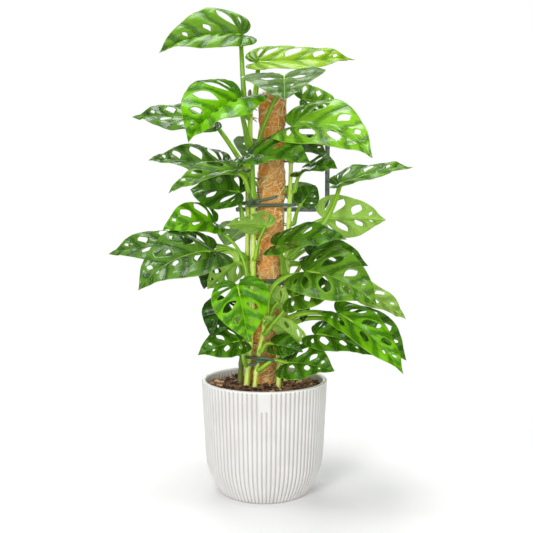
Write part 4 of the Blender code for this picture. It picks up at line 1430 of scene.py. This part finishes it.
@dataclass
class Petiole:
    """One leaf's stalk: a sheath on the stem, a knee, and on under the blade as its midrib."""

    blade: Blade
    route: np.ndarray
    points: int = 46
    sides: int = 14
    stoutness: float = 1.36
    size_range: tuple[float, float] = (0.72, 1.12)
    full_chord: float = 100.0
    foot: float = 1.12
    taper: float = 0.36
    sheath: float = 1.3
    sheath_length: float = 18.0
    knee: float = 0.45
    knee_place: float = 7.0
    knee_length: float = 5.0
    ridges: float = 0.10
    ridge_count: float = 3.0
    channel: float = 0.16
    channel_width: float = 0.25
    rib_points: int = 30
    hidden_rib: int = 5
    rib_run: tuple[float, float] = (0.07, 0.93)
    rib_radii: tuple[float, float] = (1.35, 0.22)
    rib_power: float = 0.8
    rib_under: tuple[float, float] = (0.75, 0.55)
    full_width: float = 70.0

    def stem_radii(self, along: np.ndarray, length: float) -> np.ndarray:
        """The free part's radius, so far along its length.

        Args:
            along: Distances from the stem.
            length: The whole distance.

        Returns:
            The radii.
        """
        least, most = self.size_range
        size = min(max(blade_axes(self.blade.leaf)[3] / self.full_chord, least), most)
        slim = self.stoutness * size * PETIOLE_RADIUS * (self.foot - self.taper * along / length)
        sheath = self.sheath * size * bell(along, self.sheath_length)
        knee = self.knee * size * bell(length - along - self.knee_place, self.knee_length)
        return slim + sheath + knee

    def build(self) -> bpy.types.Object:
        """The stalk and the midrib as one ridged strand.

        Returns:
            The stalk, with no finish yet.
        """
        leaf = self.blade.leaf
        course = spread(self.route, self.points)
        length = float(np.linalg.norm(np.diff(course, axis=0), axis=1).sum())
        radii = self.stem_radii(np.linspace(0.0, length, self.points), length)
        x = np.linspace(*self.rib_run, self.rib_points)
        groove_share, below = self.rib_under
        depth = np.full(self.rib_points, -groove_share * self.blade.rib_groove - below)
        under = self.blade.bend(np.stack([x, 0.0 * x], axis=-1), depth)
        thick, thin = self.rib_radii
        rib = thick * (1.0 - x) ** self.rib_power * min(1.0, leaf.width / self.full_width) + thin
        joint = np.linspace(radii[-1], rib[self.hidden_rib], self.rib_points)
        joint = np.minimum(joint, radii[-1])[:self.hidden_rib]
        radii = np.concatenate([radii, joint, rib[self.hidden_rib:]])
        angle = np.linspace(0.0, FULL_TURN, self.sides + 1)
        ridges = self.ridges * np.cos(self.ridge_count * angle)
        ridges = ridges - self.channel * bell(np.cos(angle) - 1.0, self.channel_width)
        return strands(f"{leaf.name}_stalk", np.vstack([course, under])[None], radii[None], self.sides,
                       lift=ridges[None, None] * radii[None, :, None])


@dataclass
class Foliage:
    """All the leaves, each one piece with two finishes."""

    def leaf(self, leaf: Leaf, route: np.ndarray, upper: bpy.types.Material,
             green: bpy.types.Material) -> bpy.types.Object:
        """A whole leaf.

        Args:
            leaf: Which leaf.
            route: Its petiole's points.
            upper: The blade's material.
            green: The petiole's material.

        Returns:
            The piece.
        """
        blade = Blade(leaf)
        sheet, stalk = blade.build(), Petiole(blade, route).build()
        sheet.data.materials.append(upper)
        stalk.data.materials.append(green)
        made = joined([sheet, stalk])
        made.name = made.data.name = f"{leaf.name}_leaf"
        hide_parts(leaf.name)
        return made

    def build(self) -> list[bpy.types.Object]:
        """Every leaf on its own petiole.

        Returns:
            The pieces.
        """
        finishes = {finish: finish.value.material() for finish in Finish}
        green = PETIOLE.material()
        routes = clear_routes()
        return [self.leaf(leaf, routes[leaf.number], finishes[leaf.finish], green) for leaf in LEAVES]


@dataclass
class Vines:
    """The climbing stems, swollen and ringed where leaves and roots grow."""

    top_share: float = 0.72
    end_share: float = 0.6
    points: int = 130
    sides: int = 14
    first_node: float = 60.0
    node_step: float = 46.0
    node_gap: float = 18.0
    node_length: float = 5.0
    swelling: float = 0.7
    ring_depth: float = 0.45
    ring_length: float = 1.4
    stoutness: float = 1.16
    roots_per_node: int = 2
    root_points: int = 7
    root_sides: int = 6
    root_reach: float = 11.0
    root_bite: float = 2.0
    root_spread: float = 0.2
    root_drop: tuple[float, float] = (0.5, 3.0)
    root_radii: tuple[float, float] = (1.1, 0.6)

    def build(self) -> list[bpy.types.Object]:
        """Each stem, with its nodes and its short brown aerial roots.

        Returns:
            The pieces.
        """
        green, old, bark = STEM.material(), OLD_STEM.material(), ROOT.material()
        made = []
        for name, stem in STEMS.items():
            line = spread(stem.points, self.points)
            height = line[:, 2]
            nodes = sorted([leaf.node for leaf in LEAVES if leaf.stem == name])
            nodes += [z for z in np.arange(height[0] + self.first_node, height[-1], self.node_step)
                      if min([abs(z - known) for known in nodes]) > self.node_gap]
            radii = self.stoutness * np.linspace(stem.radius, stem.radius * self.top_share, self.points)
            for z in nodes:
                radii = radii + self.swelling * bell(height - z, self.node_length)
                radii = radii - self.ring_depth * bell(height - z + self.node_length, self.ring_length)
            radii[[0, -1]] *= self.end_share
            body = strands(f"{name}_vine", line[None], radii[None], self.sides)
            body.data.materials.append(old if name == SHEATHED_STEM else green)
            root = self.roots(name, line, nodes)
            root.data.materials.append(bark)
            body = joined([body, root])
            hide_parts(name)
            made.append(body)
        return made

    def roots(self, name: str, line: np.ndarray, nodes: list[float]) -> bpy.types.Object:
        """Short aerial roots that reach from a stem's nodes into the coir.

        Args:
            name: The stem's name.
            line: The stem's points.
            nodes: The heights of its nodes.

        Returns:
            The roots as one object.
        """
        draw = np.random.default_rng(len(nodes) + ord(name[-1]))
        stops = np.linspace(0.0, 1.0, self.root_points)[:, None]
        routes = []
        for z in nodes:
            here = at_height(line, z)
            inward = pole_centre(z) - here
            gap = float(np.linalg.norm(inward))
            reach = min(self.root_reach, gap - COIR_RADIUS + self.root_bite)
            for _ in range(self.roots_per_node):
                aim = inward / gap + draw.normal(0.0, self.root_spread, 3)
                aim /= np.linalg.norm(aim)
                drop = np.array([0.0, 0.0, -draw.uniform(*self.root_drop)])
                routes.append(here + stops * reach * aim + stops ** 2 * drop)
        radii = np.tile(np.linspace(*self.root_radii, self.root_points), (len(routes), 1))
        return strands(f"{name}_roots", np.array(routes), radii, self.root_sides)


@dataclass
class CoirPole:
    """The coir sleeve: a bound mat with its loose fibres."""

    rows: int = 150
    columns: int = 72
    inset: float = 0.7
    waist: float = 2.0
    waist_length: float = 5.5
    bindings: tuple[float, ...] = (194.0, 247.0, 301.0, 356.0, 411.0, 466.0, 520.0)
    bumps: tuple[tuple[float, float, int], ...] = ((0.9, 16.0, 3), (0.5, 5.0, 4))
    lean: float = 0.02
    shoulder: float = 4.5
    shoulder_height: float = 6.0
    mouth: tuple[tuple[float, float], ...] = ((0.4, -9.5), (-9.0, -13.5))
    foot_off: float = -10.5
    fibres: int = 2700
    fibre_points: int = 7
    fibre_sides: int = 3
    fibre_radius: float = 0.34
    fibre_lengths: tuple[float, float] = (14.0, 60.0)
    slants: tuple[float, float] = (0.35, 1.0)
    curl: float = 1.1
    ends_inside: float = 2.0
    past_soil: float = 6.0
    past_top: float = 3.0
    off_mat: tuple[float, float] = (0.3, 1.9)
    end_lift: float = 5.2
    radius_range: tuple[float, float] = (0.6, 1.3)
    stout_share: float = 0.13
    stout: float = 2.5
    stout_tones: tuple[float, float] = (0.8, 1.0)
    fine_tones: tuple[float, float] = (0.0, 0.9)
    top_strands: int = 240
    top_depth: float = 4.0
    top_lean: float = 0.5
    top_turn: float = 12.0
    top_spread: float = 0.3
    top_rise: tuple[float, float] = (3.0, 19.0)
    top_off: tuple[float, float] = (-13.0, -2.0)
    top_curl: float = 0.022
    seed: int = 11

    def radius(self, height: np.ndarray) -> np.ndarray:
        """The mat's radius, drawn in at each binding."""
        drawn = sum(bell(height - z, self.waist_length) for z in self.bindings)
        return COIR_RADIUS - self.inset - self.waist * drawn

    def surface(self, angle: np.ndarray, height: np.ndarray, off: np.ndarray) -> np.ndarray:
        """Places on the mat.

        Args:
            angle: Round the pole, in radians.
            height: Heights above the surface that the pot stands on.
            off: How far off the mat.

        Returns:
            The places.
        """
        axis = spread(POLE_AXIS, FINE)
        x, y = (np.interp(height, axis[:, 2], axis[:, k]) for k in (0, 1))
        x = x + np.maximum(height - axis[-1, 2], 0.0) * self.lean
        reach = self.radius(height) + off
        return np.stack([x + reach * np.cos(angle), y + reach * np.sin(angle), height], axis=-1)

    def build(self) -> list[bpy.types.Object]:
        """The mat, hollow at its top, and the fibres.

        Returns:
            The pieces.
        """
        top = POLE_AXIS[-1][2]
        height, angle = np.meshgrid(np.linspace(COIR_FOOT, top, self.rows),
                                    np.linspace(0.0, FULL_TURN, self.columns + 1), indexing="ij")
        plain = self.surface(angle, height, 0.0)
        plain[:, -1] = plain[:, 0]
        off = sum(most * ripple(plain, length, seed) for most, length, seed in self.bumps)
        off[:, -1] = off[:, 0]
        over = np.clip((height - top + self.shoulder_height) / self.shoulder_height, 0.0, 1.0)
        outer = self.surface(angle, height, off - self.shoulder * over ** 2)
        mouth = [self.surface(angle[-1:], height[-1:] + rise, inward) for rise, inward in self.mouth]
        foot = self.surface(angle[:1], height[:1], self.foot_off)
        mat = woven("coir_mat", np.vstack([foot, outer, *mouth, foot]))
        mat.data.materials.append(COIR.material(loose=False))
        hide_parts("coir_sleeve")
        return [mat, self.loose(top)]

    def lying(self, draw: np.random.Generator, top: float) -> np.ndarray:
        """Fibres that lie over the mat at a slant.

        Args:
            draw: The random draws.
            top: The height of the mat's top.

        Returns:
            Their courses.
        """
        one = (self.fibres, 1)
        share = np.linspace(-0.5, 0.5, self.fibre_points)[None]
        length = draw.uniform(*self.fibre_lengths, one)
        slant = draw.normal(0.0, 1.0, one) * draw.choice(self.slants, one)
        way = slant + draw.normal(0.0, self.curl, one) * share
        start_angle = draw.uniform(0.0, FULL_TURN, one)
        start_height = draw.uniform(SOIL_TOP - self.ends_inside, top - self.ends_inside, one)
        angle = start_angle + length * share * np.cos(way) / COIR_RADIUS
        height = np.clip(start_height + length * share * np.sin(way), SOIL_TOP - self.past_soil,
                         top + self.past_top)
        off = draw.uniform(*self.off_mat, one) + draw.uniform(0.0, self.end_lift, one) * share ** 2
        return self.surface(angle, height, off)

    def standing(self, draw: np.random.Generator, top: float) -> np.ndarray:
        """Fibres that stand out of the mat's top.

        Args:
            draw: The random draws.
            top: The height of the mat's top.

        Returns:
            Their courses.
        """
        one = (self.top_strands, 1)
        least, most = self.top_rise
        lean = draw.normal(0.0, self.top_lean, one)
        reach = least + most * draw.uniform(size=one) ** 2
        rise = np.linspace(0.0, 1.0, self.fibre_points)[None] * reach
        angle = draw.uniform(0.0, FULL_TURN, one) + lean * rise / self.top_turn
        curl = draw.normal(0.0, self.top_curl, one) * rise ** 2
        off = draw.uniform(*self.top_off, one) + draw.normal(0.0, self.top_spread, one) * rise + curl
        return self.surface(angle, top - self.top_depth + rise * (1.0 - self.top_curl * rise), off)

    def loose(self, top: float) -> bpy.types.Object:
        """The loose fibres, most of them fine and some stout and pale.

        Args:
            top: The height of the mat's top.

        Returns:
            The piece.
        """
        draw = np.random.default_rng(self.seed)
        routes = np.concatenate([self.lying(draw, top), self.standing(draw, top)])
        count = len(routes)
        radii = np.full(routes.shape[:2], self.fibre_radius)
        radii *= draw.uniform(*self.radius_range, (count, 1))
        stout = draw.uniform(size=count) < self.stout_share
        radii[stout] *= self.stout
        tones = np.where(stout, draw.uniform(*self.stout_tones, count),
                         draw.uniform(*self.fine_tones, count))
        made = strands("coir_fibres", routes, radii, self.fibre_sides, tones=tones)
        made.data.materials.append(COIR.material(loose=True))
        return made


@dataclass
class Soil:
    """Potting mix: a crumbly top with bark bits, filling the pot."""

    edge: float = 82.4
    rows: int = 46
    columns: int = 120
    row_power: float = 0.8
    level_reach: float = 50.0
    slope_length: float = 30.0
    slope_drop: float = 3.0
    bumps: tuple[tuple[float, float, int, int], ...] = ((1.1, 22.0, 21, 9), (1.3, 7.0, 22, 12))
    wall: tuple[tuple[float, float], ...] = ((0.985, 130.0), (0.95, 56.0), (0.84, 26.0), (0.66, 7.0),
                                             (0.0, 7.0))
    bits: int = 1000
    bit_seed: int = 31
    bit_sizes: tuple[float, float] = (1.6, 6.0)
    bit_shape: tuple[float, float] = (0.5, 0.4)
    perlite: int = 26
    perlite_seed: int = 32
    perlite_sizes: tuple[float, float] = (0.7, 1.5)
    perlite_shape: tuple[float, float] = (0.9, 0.85)
    size_power: float = 1.8
    width_range: tuple[float, float] = (0.7, 1.3)
    height_range: tuple[float, float] = (0.6, 1.2)
    corner_power: float = 0.75
    dents: float = 0.22
    spin: float = 6.28
    tilt: float = 0.4
    strewn_reach: float = 80.5
    pot_reach: float = 82.5
    standing_share: float = 0.35

    def level(self, places: np.ndarray) -> np.ndarray:
        """How high the crumbly top stands at each place.

        Args:
            places: The places; their own heights don't count.

        Returns:
            The heights.
        """
        reach = np.linalg.norm(places[..., :2], axis=-1)
        drop = self.slope_drop * np.clip((reach - self.level_reach) / self.slope_length, 0.0, 1.0)
        level = SOIL_TOP - drop
        for most, length, seed, waves in self.bumps:
            level = level + most * ripple(places * (1.0, 1.0, 0.0), length, seed, waves)
        return level

    def build(self) -> list[bpy.types.Object]:
        """The earth and what lies on it.

        Returns:
            The earth, the bark and the perlite.
        """
        angle = np.linspace(0.0, FULL_TURN, self.columns + 1)
        reach = self.edge * np.linspace(0.0, 1.0, self.rows) ** self.row_power
        way = np.stack([np.cos(angle), np.sin(angle), 0.0 * angle], axis=-1)
        way[-1] = way[0]
        top = reach[:, None, None] * way
        top[..., 2] = self.level(top)
        wall = [top[-1:] * (share, share, 0.0) + (0.0, 0.0, z) for share, z in self.wall]
        earth = woven("soil_mix", np.vstack([top, *wall]))
        earth.data.materials.append(SOIL.material(bark=False))
        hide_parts("soil")
        chips = self.scatter("soil_bark", self.bits, self.bit_sizes, self.bit_seed, self.bit_shape)
        chips.data.materials.append(SOIL.material(bark=True))
        grit = self.scatter("soil_perlite", self.perlite, self.perlite_sizes, self.perlite_seed,
                            self.perlite_shape)
        grit.data.materials.append(PERLITE.material(bark=True))
        return [earth, chips, grit]

    def bit(self, unit: np.ndarray, draw: np.random.Generator, sizes: tuple[float, float],
            shape: tuple[float, float]) -> np.ndarray:
        """One angular bit that lies somewhere on the soil.

        Args:
            unit: The corners of the round unit bit.
            draw: The random draws.
            sizes: The least and the greatest half length.
            shape: Its width and height, as shares of its length.

        Returns:
            Its corners in millimetres.
        """
        size = sizes[0] + (sizes[1] - sizes[0]) * draw.uniform() ** self.size_power
        corners = unit * (1.0, shape[0] * draw.uniform(*self.width_range),
                          shape[1] * draw.uniform(*self.height_range))
        corners = np.sign(corners) * np.abs(corners) ** self.corner_power
        corners = corners * (1.0 + self.dents * draw.normal(size=(len(unit), 1)))
        turn = np.array(Matrix.Rotation(draw.uniform(0.0, self.spin), 3, "Z")
                        @ Matrix.Rotation(draw.normal(0.0, self.tilt), 3, "X")
                        @ Matrix.Rotation(draw.normal(0.0, self.tilt), 3, "Y"))
        reach, angle = self.strewn_reach * math.sqrt(draw.uniform()), draw.uniform(0.0, FULL_TURN)
        spot = np.array([reach * math.cos(angle), reach * math.sin(angle), 0.0])
        spot[2] = float(self.level(spot[None])[0]) + size * shape[1] * self.standing_share
        placed = (corners * size) @ turn.T + spot
        over = np.linalg.norm(placed[:, :2], axis=1, keepdims=True) / self.pot_reach
        placed[:, :2] /= np.maximum(over, 1.0)
        return placed

    def scatter(self, name: str, count: int, sizes: tuple[float, float], seed: int,
                shape: tuple[float, float]) -> bpy.types.Object:
        """Small angular bits strewn over the soil, all from one faceted bit.

        Args:
            name: The object's name.
            count: How many bits.
            sizes: The least and the greatest half length of a bit.
            seed: The draw's seed.
            shape: A bit's width and height, as shares of its length.

        Returns:
            The bits as one object, with the attribute tone.
        """
        deselect()
        bpy.ops.mesh.primitive_ico_sphere_add(subdivisions=2, radius=1.0)
        first = bpy.context.object
        first.name = name
        unit = read(first.data.vertices, "co")
        draw = np.random.default_rng(seed)
        copies = [first]
        for k in range(1, count):
            copies.append(bpy.data.objects.new(f"{name}_{k}", first.data.copy()))
            bpy.context.scene.collection.objects.link(copies[-1])
        for piece in copies:
            placed = self.bit(unit, draw, sizes, shape)
            piece.data.vertices.foreach_set("co", (placed * MM).ravel())
            note(piece, "tone", np.full(len(unit), draw.uniform()))
        return joined(copies)


@dataclass
class RibbedPot:
    """The white pot: rounded ribs, a smooth rim and a small blank plate on its front."""

    underside: tuple[tuple[float, float], ...] = ((0.0, 0.0), (63.0, 0.0))
    outside: tuple[tuple[float, float], ...] = ((65.6, 0.0), (68.0, 4.0), (73.0, 12.5), (79.8, 28.0),
                                                (83.4, 42.0), (85.2, 58.0), (86.1, 75.0),
                                                (88.2, 116.0), (90.0, 156.6))
    collar: tuple[tuple[float, float], ...] = ((90.0, 157.2), (90.0, 157.8), (90.0, 158.2))
    rim: tuple[tuple[float, float], ...] = ((90.0, 158.6), (89.8, 159.0), (89.3, 159.5), (88.4, 159.9),
                                            (87.0, 160.0), (85.8, 159.9), (84.8, 159.3), (84.2, 158.0))
    inside: tuple[tuple[float, float], ...] = ((84.0, 156.0), (82.6, 120.0), (79.5, 56.0),
                                               (71.0, 26.0), (57.0, 6.0))
    bottom: tuple[float, float] = (0.0, 6.0)
    outer_rows: int = 52
    inner_rows: int = 18
    ribs: int = 84
    sides_per_rib: int = 8
    depth: float = 1.9
    crest: float = 2.8
    inner_share: float = 0.6
    lip_foot: float = 158.5
    lip_ease: float = 0.7
    inner_foot: float = 157.0
    inner_ease: float = 2.0
    plate_half: float = 7.8
    plate_foot: float = 134.0
    plate_ease: float = 0.8
    painted_shade_foot: float = 7.0
    painted_light_foot: float = 157.4
    painted_light_ease: float = 0.8

    def profile(self) -> tuple[np.ndarray, np.ndarray]:
        """The wall's section, up the outside, over the rim and down the inside.

        Returns:
            Radius and height of each row, and how much the ribs show there: below 0 on the inside.
        """
        outer = spread([(r, 0.0, z) for r, z in self.outside], self.outer_rows)[:, [0, 2]]
        outer = np.vstack([outer, self.collar])
        inner = spread([(r, 0.0, z) for r, z in self.inside], self.inner_rows)[:, [0, 2]]
        rows = np.array([*self.underside, *outer, *self.rim, *inner, self.bottom])
        shown = np.concatenate([np.zeros(len(self.underside)), np.ones(len(outer)),
                                np.zeros(len(self.rim)), np.full(len(inner), -self.inner_share), [0.0]])
        outer_ease = np.clip((self.lip_foot - rows[:, 1]) / self.lip_ease, 0.0, 1.0)
        inner_ease = np.clip((self.inner_foot - rows[:, 1]) / self.inner_ease, 0.0, 1.0)
        return rows, shown * np.where(shown > 0.0, outer_ease, inner_ease)

    def build(self) -> bpy.types.Object:
        """The pot as one closed shell.

        Returns:
            The piece.
        """
        rows, shown = self.profile()
        radius, height, shown = rows[:, :1], rows[:, 1:], shown[:, None]
        angle = np.linspace(0.0, FULL_TURN, self.ribs * self.sides_per_rib + 1)
        groove = (0.5 - 0.5 * np.cos(self.ribs * angle)) ** self.crest
        from_front = (angle + 0.5 * math.pi + math.pi) % FULL_TURN - math.pi
        arc = np.abs(from_front)[None] * radius
        beside = np.clip((arc - self.plate_half) / self.plate_ease, 0.0, 1.0)
        below = np.clip((self.plate_foot - height) / self.plate_ease, 0.0, 1.0)
        cut = np.abs(shown) * groove[None] * np.where(shown > 0.0, np.maximum(beside, below), 1.0)
        reach = radius + np.where(shown < 0.0, 1.0, -1.0) * self.depth * cut
        reach[rows[:, 0] == 0.0] = 0.0
        places = np.stack([reach * np.cos(angle), reach * np.sin(angle),
                           np.broadcast_to(height, reach.shape)], axis=-1)
        places[:, -1] = places[:, 0]
        # Where the finish paints shade at the foot (low) and light at the lip (high).
        low = np.clip(1.0 - height / self.painted_shade_foot, 0.0, 1.0) ** 2
        high = np.clip((height - self.painted_light_foot) / self.painted_light_ease, 0.0, 1.0)
        marks = {"groove": cut, "low": np.broadcast_to(low, cut.shape),
                 "high": np.broadcast_to(high, cut.shape)}
        pot = woven("pot_shell", places, marks)
        pot.data.materials.append(POT.material())
        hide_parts("pot")
        return pot


@dataclass
class Supports:
    """The bent tube behind the pole and the thin cane beside it."""

    bend: tuple[Point, ...] = (*ARM[:4], (74.0, 28.0, 404.0), (84.5, 28.0, 406.2), (90.2, 28.0, 412.0),
                               (92.0, 28.0, 422.0), (92.0, 28.0, 440.0), ARM[-1])
    points: int = 160
    sides: int = 18
    cap_length: float = 9.0
    cap_share: float = 1.1
    rim_share: float = 0.95
    end_share: float = 0.6

    def build(self) -> list[bpy.types.Object]:
        """Both tubes, each with a push-on end cap, and the stake's wood.

        Returns:
            The two tubes.
        """
        grey = TUBE.material()
        made = []
        for name, points, radius in (("support_arm", self.bend, ARM_RADIUS),
                                     ("support_cane", CANE, CANE_RADIUS)):
            line = spread(points, self.points)
            length = float(np.linalg.norm(np.diff(line, axis=0), axis=1).sum())
            along = np.linspace(0.0, length, self.points)
            radii = np.where(length - along < self.cap_length, radius * self.cap_share, radius)
            radii[-2] = radius * self.rim_share
            radii[[0, -1]] = radius * self.end_share
            tube = strands(f"{name}_tube", line[None], radii[None], self.sides)
            tube.data.materials.append(grey)
            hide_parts(name)
            made.append(tube)
        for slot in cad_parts["pole_core"].material_slots:
            slot.material = WOOD.material()
        return made


@dataclass
class Studio:
    """A plain white floor that runs into a white backdrop, soft light and the camera."""

    camera_place: Point = (3.0, -1005.0, 376.0)
    pitch: float = 3.1
    lens: float = 47.4
    sensor: float = 36.0
    clip: tuple[float, float] = (0.05, 60.0)
    aim: Point = (0.0, 0.0, 0.33)
    air: float = 0.235
    floor_radius: float = 1.6
    floor_sides: int = 96
    floor_sink: float = 0.0004
    floor_fade: tuple[float, float] = (0.16, 0.6)
    paper: Colour = (0.85, 0.85, 0.85)
    paper_glow: Colour = (0.15, 0.15, 0.15)
    paper_roughness: float = 0.9
    dome_radius: float = 12.0
    lamps: dict[str, tuple[Point, float, float]] = field(default_factory=lambda: {
        "key": ((-750.0, -1600.0, 1000.0), 520.0, 16.0),
        "fill": ((800.0, -1700.0, 500.0), 900.0, 7.0),
        "front": ((60.0, -2100.0, 430.0), 420.0, 6.0),
        "top": ((-100.0, 0.0, 1750.0), 800.0, 19.0),
        "back": ((-300.0, 1500.0, 1000.0), 1100.0, 13.0),
    })

    def build(self) -> None:
        """Make the set and look at the plant from the photograph's place."""
        bpy.context.scene.view_settings.view_transform = "Standard"
        self.floor()
        self.dome()
        for name, (place, size, power) in self.lamps.items():
            self.lamp(name, place, size, power)
        world = bpy.data.worlds.new("studio_air")
        world.use_nodes = True
        air = world.node_tree.nodes["Background"]
        air.inputs["Color"].default_value = (*WHITE, 1.0)
        air.inputs["Strength"].default_value = self.air
        bpy.context.scene.world = world
        deselect()
        bpy.ops.object.camera_add(location=[v * MM for v in self.camera_place],
                                  rotation=(math.radians(90.0 - self.pitch), 0.0, 0.0))
        camera = bpy.context.object
        camera.data.sensor_width = self.sensor
        camera.data.lens = self.lens
        camera.data.clip_start, camera.data.clip_end = self.clip
        bpy.context.scene.camera = camera

    def lamp(self, name: str, place: Point, size: float, power: float) -> None:
        """One square soft box, aimed at the middle of the plant.

        Args:
            name: What it is for.
            place: Where it hangs.
            size: Its side.
            power: In watts.
        """
        deselect()
        bpy.ops.object.light_add(type="AREA", location=[v * MM for v in place])
        lamp = bpy.context.object
        lamp.name = f"lamp_{name}"
        lamp.data.size = size * MM
        lamp.data.energy = power
        aim = Vector(self.aim) - lamp.location
        lamp.rotation_euler = aim.to_track_quat("-Z", "Y").to_euler()

    def glow(self, name: str) -> Recipe:
        """A matt paper that also glows, as a lit backdrop does; its colours are still to be fed.

        Args:
            name: The material's name.

        Returns:
            The material in the making.
        """
        recipe = Recipe(name, self.paper_roughness)
        recipe.feed(recipe.shader.inputs["Emission Strength"], 1.0)
        recipe.soften(0.0)
        return recipe

    def floor(self) -> None:
        """A pale disc under the pot, which fades into the backdrop."""
        deselect()
        bpy.ops.mesh.primitive_circle_add(vertices=self.floor_sides, radius=self.floor_radius,
                                          fill_type="NGON", location=(0.0, 0.0, -self.floor_sink))
        floor = bpy.context.object
        floor.name = "floor"
        paper = self.glow("floor_white")
        reach = paper.node("ShaderNodeVectorMath", {"operation": "LENGTH"}, {0: paper.place()}, "Value")
        far = paper.step(reach, *self.floor_fade)
        paper.feed(paper.shader.inputs["Base Color"], paper.blend(far, self.paper, BLACK))
        paper.feed(paper.shader.inputs["Emission Color"], paper.blend(far, self.paper_glow, WHITE))
        floor.data.materials.append(paper.material)

    def dome(self) -> None:
        """The backdrop, which only shows and neither lights nor shades the plant."""
        deselect()
        bpy.ops.mesh.primitive_ico_sphere_add(subdivisions=4, radius=self.dome_radius)
        dome = bpy.context.object
        dome.name = "backdrop"
        paper = self.glow("backdrop_white")
        paper.feed(paper.shader.inputs["Base Color"], BLACK)
        paper.feed(paper.shader.inputs["Emission Color"], WHITE)
        dome.data.materials.append(paper.material)
        dome.visible_diffuse = dome.visible_glossy = dome.visible_transmission = False
        dome.visible_shadow = False


def report(pieces: list[bpy.types.Object]) -> None:
    """Let every piece ride on the body, and say how fine it is.

    Args:
        pieces: The finished pieces.
    """
    for piece in pieces:
        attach(piece, BODY)
        piece.data.calc_loop_triangles()
        log.info("%s: %d triangles", piece.name, len(piece.data.loop_triangles))


def main() -> None:
    """Build the whole model and its studio."""
    logging.basicConfig(level=logging.INFO, format="%(message)s")
    report([RibbedPot().build()])
    report(Soil().build())
    report(CoirPole().build())
    report(Vines().build())
    report(Supports().build())
    green = TIE.material()
    report([tie.build(green) for tie in TIES])
    report(Foliage().build())
    Studio().build()


if __name__ == "__main__":
    main()
